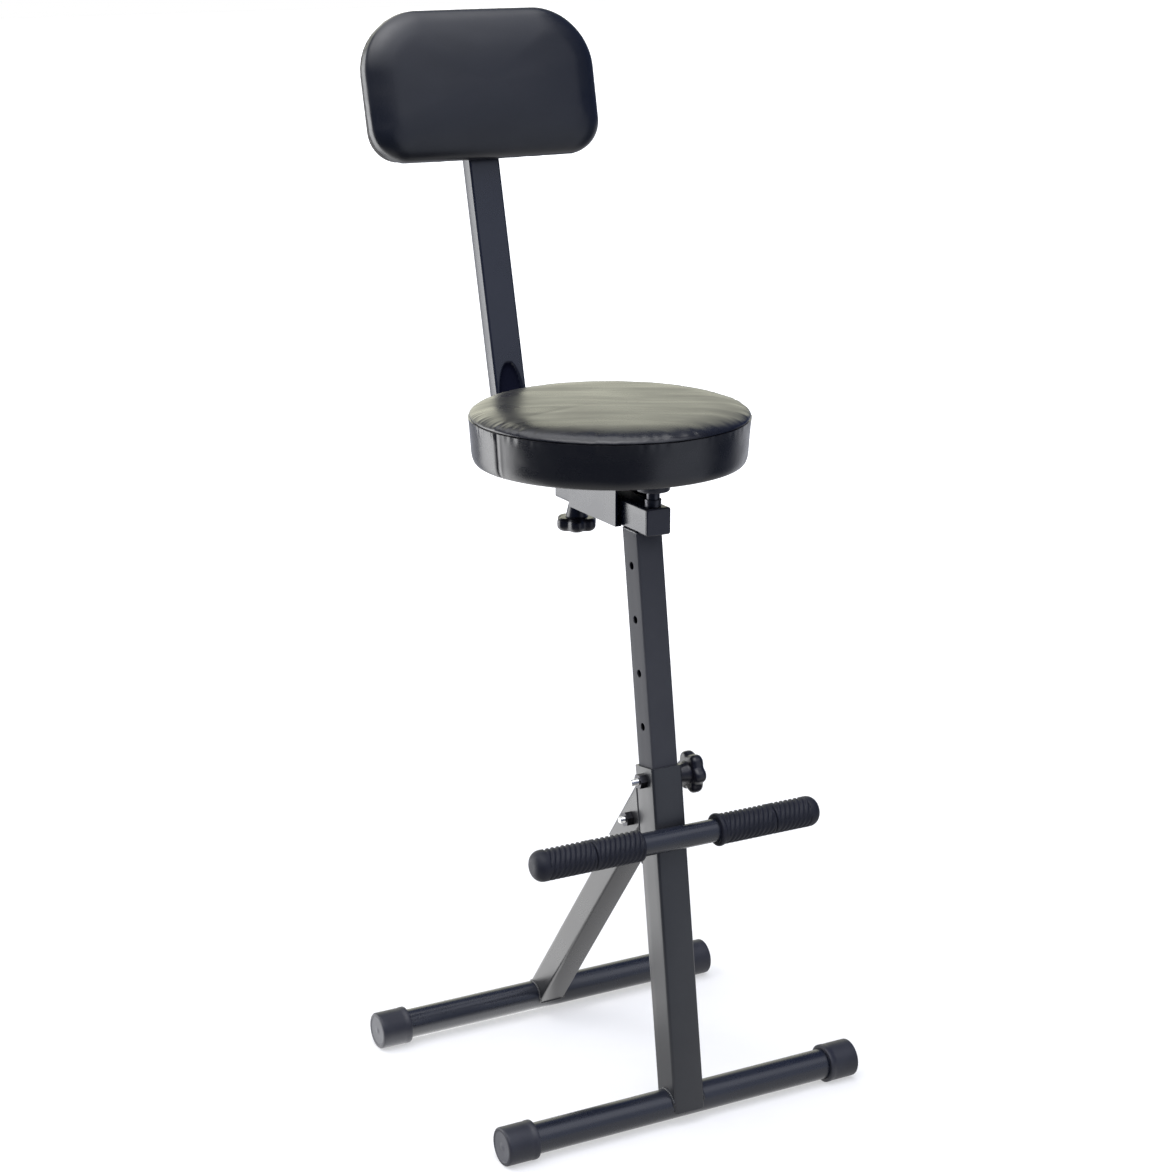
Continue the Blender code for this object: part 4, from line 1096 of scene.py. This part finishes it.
def pad_sections():
    """Insets, heights and shares of the outline from the pad's rear to the middle of its front."""
    rows = [(PAD_REAR_ROUND + inset, 0.0, 1.0) for inset in (40.0 * MM, 12.0 * MM)]
    for t in np.linspace(0.0, QUARTER, 6):
        rows.append((PAD_REAR_ROUND * (1.0 - sin(t)), PAD_REAR_ROUND * (1.0 - cos(t)), 1.0))
    shoulder = PAD_T - PAD_FRONT_ROUND
    for share in np.linspace(0.1, 0.95, 9):
        rows.append((0.0, PAD_REAR_ROUND + (shoulder - PAD_REAR_ROUND) * share, 1.0))
    front = PAD_FRONT_ROUND + PAD_CROWN
    for t in np.linspace(0.0, 1.0, 16):
        inset = PAD_DOME * t ** 2
        rows.append((inset, shoulder + front * dome_rise(inset), 1.0))
    for share in np.linspace(0.05, 0.99, 24):
        inset = PAD_DOME + (PAD_H / 2 - PAD_DOME) * share
        rows.append((PAD_DOME, shoulder + front * dome_rise(inset), 1.0 - share))
    return rows


def pad_detail(x, z, height):
    """Moves outward and forward that work in the gathers behind the edge and a little slack in the front."""
    gather = noise.noise(Vector((x * 150.0, z * 150.0, 3.1)))
    slack = noise.noise(Vector((x * 14.0, z * 14.0, 5.5)))
    rear = bell(height - PAD_REAR_ROUND, *PAD_GATHER)
    return gather * rear, PAD_LOOSE * slack * smooth_step(height, PAD_T, PAD_T + 3.0 * MM)


def add_back_cushion():
    rows = pad_sections()
    outlines = [pad_ring(inset, share) for inset, height, share in rows]
    grid = np.array([[(x, -(PAD_REAR + height), z) for x, z in outline]
                     for outline, (inset, height, share) in zip(outlines, rows)])
    held = [height < PAD_REAR_ROUND for inset, height, share in rows]
    grid = swollen(grid, held, PAD_SLACK, PAD_BENDING, PAD_SWELL, PAD_EVENING)
    for row, (inset, height, share) in enumerate(rows):
        for column, (x, z) in enumerate(outlines[row]):
            out, forward = pad_detail(x, z, height)
            grid[row, column] += Vector((x, 0.0, z)).normalized() * out
            grid[row, column, 1] -= forward
    middle_z = pad_low.z + PAD_H / 2
    rings = [[RISER_FRAME @ Vector((x, y, z + middle_z)) for x, y, z in ring] for ring in grid]
    cushion = rings_piece("back_cushion_drawn", rings, PAD_VINYL, sharp_angle=radians(60))
    finish_piece(cushion, "backrest", "black_vinyl", "back_cushion")


add_back_cushion()


# Stage, light and camera

LENS = 78.83
SENSOR = 36.0
CAMERA_OFFSET = Vector((-1.3627, -2.2532, 1.3521))
CAMERA_TILT = radians(74.13)
CAMERA_TURN = radians(-28.82)
FLOOR_HALF = 20.0
WHITE = (1.0, 1.0, 1.0)
PAPER_LOW = (0.46, 0.46, 0.46)
PAPER_HIGH = (0.49, 0.49, 0.49)
GLOW_FROM, GLOW_TO, GLOW_LOW = 0.9, 2.6, 0.48
NEAR_END, FAR_START = 0.6, 1.6
# Each soft light: its direction, the cosines where it starts and is full, and its radiance
FLOOR_NEAR = (0.95, 0.95, 0.97)
NEAR_LIGHTS = (((-0.70, 0.714, 0.0), 0.50, 0.92, (1.8, 1.8, 1.8)),)
FLOOR_FAR = (0.10, 0.12, 0.18)
FAR_LIGHTS = (
    ((-0.70, 0.714, 0.0), 0.90, 0.94, (3.9, 3.9, 3.9)),
    ((-0.79, 0.61, 0.0), 0.96, 0.985, (1.6, 1.6, 1.6)),
    ((0.49, -0.87, 0.0), 0.84, 0.97, (0.68, 0.71, 0.78)),
    ((0.14, 0.99, 0.0), 0.92, 0.985, (0.55, 0.55, 0.57)),
    ((0.906, 0.423, 0.0), 0.90, 0.98, (0.80, 0.80, 0.82)),
)
STUDIO_BASE = (0.06, 0.09, 0.21)
STUDIO_LIGHTS = (
    ((-0.70, 0.714, 0.04), 0.90, 0.94, (4.0, 4.0, 4.0)),
    ((0.44, 0.88, 0.20), 0.86, 0.98, (1.25, 1.22, 0.87)),
    ((-0.05, 0.97, 0.22), 0.84, 0.97, (1.10, 1.08, 0.86)),
    ((0.42, -0.90, 0.10), 0.86, 0.975, (0.68, 0.71, 0.78)),
    ((0.10, -0.53, 0.84), 0.80, 0.93, (1.75, 1.77, 1.88)),
    ((-0.46, -0.26, 0.85), 0.82, 0.97, (2.3, 2.3, 2.35)),
)


def mirrored_floor(g, place, away):
    """What shiny parts see in the floor: white close by, and lit in patches further off."""
    heading = g.vector("NORMALIZE", place)
    near = g.lights(heading, FLOOR_NEAR, NEAR_LIGHTS)
    far = g.lights(heading, FLOOR_FAR, FAR_LIGHTS)
    colour = g.mix(g.spread(away, NEAR_END, FAR_START), near, far)
    return g.node("ShaderNodeEmission", {"Color": colour, "Strength": 1.0}).outputs[0]


def add_floor():
    """A plain pale floor: white to the camera, with the stool's soft shadow."""
    half = FLOOR_HALF
    corners = [(-half, -half, 0.0), (half, -half, 0.0), (half, half, 0.0), (-half, half, 0.0)]
    floor = bare_mesh("floor", corners, [(0, 1, 2, 3)])
    material = bpy.data.materials.new("pale_floor")
    g = Graph(material)
    rays = g.node("ShaderNodeLightPath").outputs
    place = g.node("ShaderNodeNewGeometry").outputs["Position"]
    away = g.vector("LENGTH", place, output="Value")
    glow = g.math("MULTIPLY", g.seen(rays), g.spread(away, GLOW_FROM, GLOW_TO, GLOW_LOW, 1.0))
    tone = g.mix(g.noise(place, scale=30.0, detail=3.0), PAPER_LOW, PAPER_HIGH)
    paper = g.node("ShaderNodeBsdfDiffuse", {"Color": tone}).outputs[0]
    lit = g.node("ShaderNodeEmission", {"Color": (*WHITE, 1.0), "Strength": glow}).outputs[0]
    both = g.node("ShaderNodeAddShader", {0: paper, 1: lit}).outputs[0]
    mirrored = mirrored_floor(g, place, away)
    shown = g.node("ShaderNodeMixShader", {0: rays["Is Glossy Ray"], 1: both, 2: mirrored}).outputs[0]
    g.node("ShaderNodeOutputMaterial", {"Surface": shown})
    floor.data.materials.append(material)


def set_world():
    world = bpy.data.worlds.new("studio")
    bpy.context.scene.world = world
    g = Graph(world)
    way = g.node("ShaderNodeTexCoord").outputs["Generated"]
    total = g.lights(way, STUDIO_BASE, STUDIO_LIGHTS)
    colour = g.mix(g.seen(g.node("ShaderNodeLightPath").outputs), total, WHITE)
    sky = g.node("ShaderNodeBackground", {"Color": colour, "Strength": 1.0}).outputs[0]
    g.node("ShaderNodeOutputWorld", {"Surface": sky})


def add_softbox(name, place, aim, width, height, watts):
    data = bpy.data.lights.new(name, "AREA")
    data.shape = "RECTANGLE"
    data.size = width
    data.size_y = height
    data.energy = watts
    lamp = linked(name, data)
    lamp.location = place
    lamp.rotation_euler = (Vector(aim) - Vector(place)).to_track_quat("-Z", "Y").to_euler()


def add_camera():
    data = bpy.data.cameras.new("camera")
    data.lens = LENS
    data.sensor_width = SENSOR
    camera = linked("camera", data)
    camera.location = FRONT_BAR + CAMERA_OFFSET
    camera.rotation_euler = (CAMERA_TILT, 0.0, CAMERA_TURN)
    bpy.context.scene.camera = camera


add_floor()
set_world()
add_softbox("overhead", (-0.3, 0.3, 2.9), aim=(0.0, 0.0, 0.4), width=2.6, height=2.6, watts=46.0)
add_softbox("left_rear", (-1.9, 1.6, 1.1), aim=(0.0, 0.0, 0.6), width=1.4, height=1.8, watts=16.0)
add_camera()
bpy.context.scene.view_settings.view_transform = "Standard"
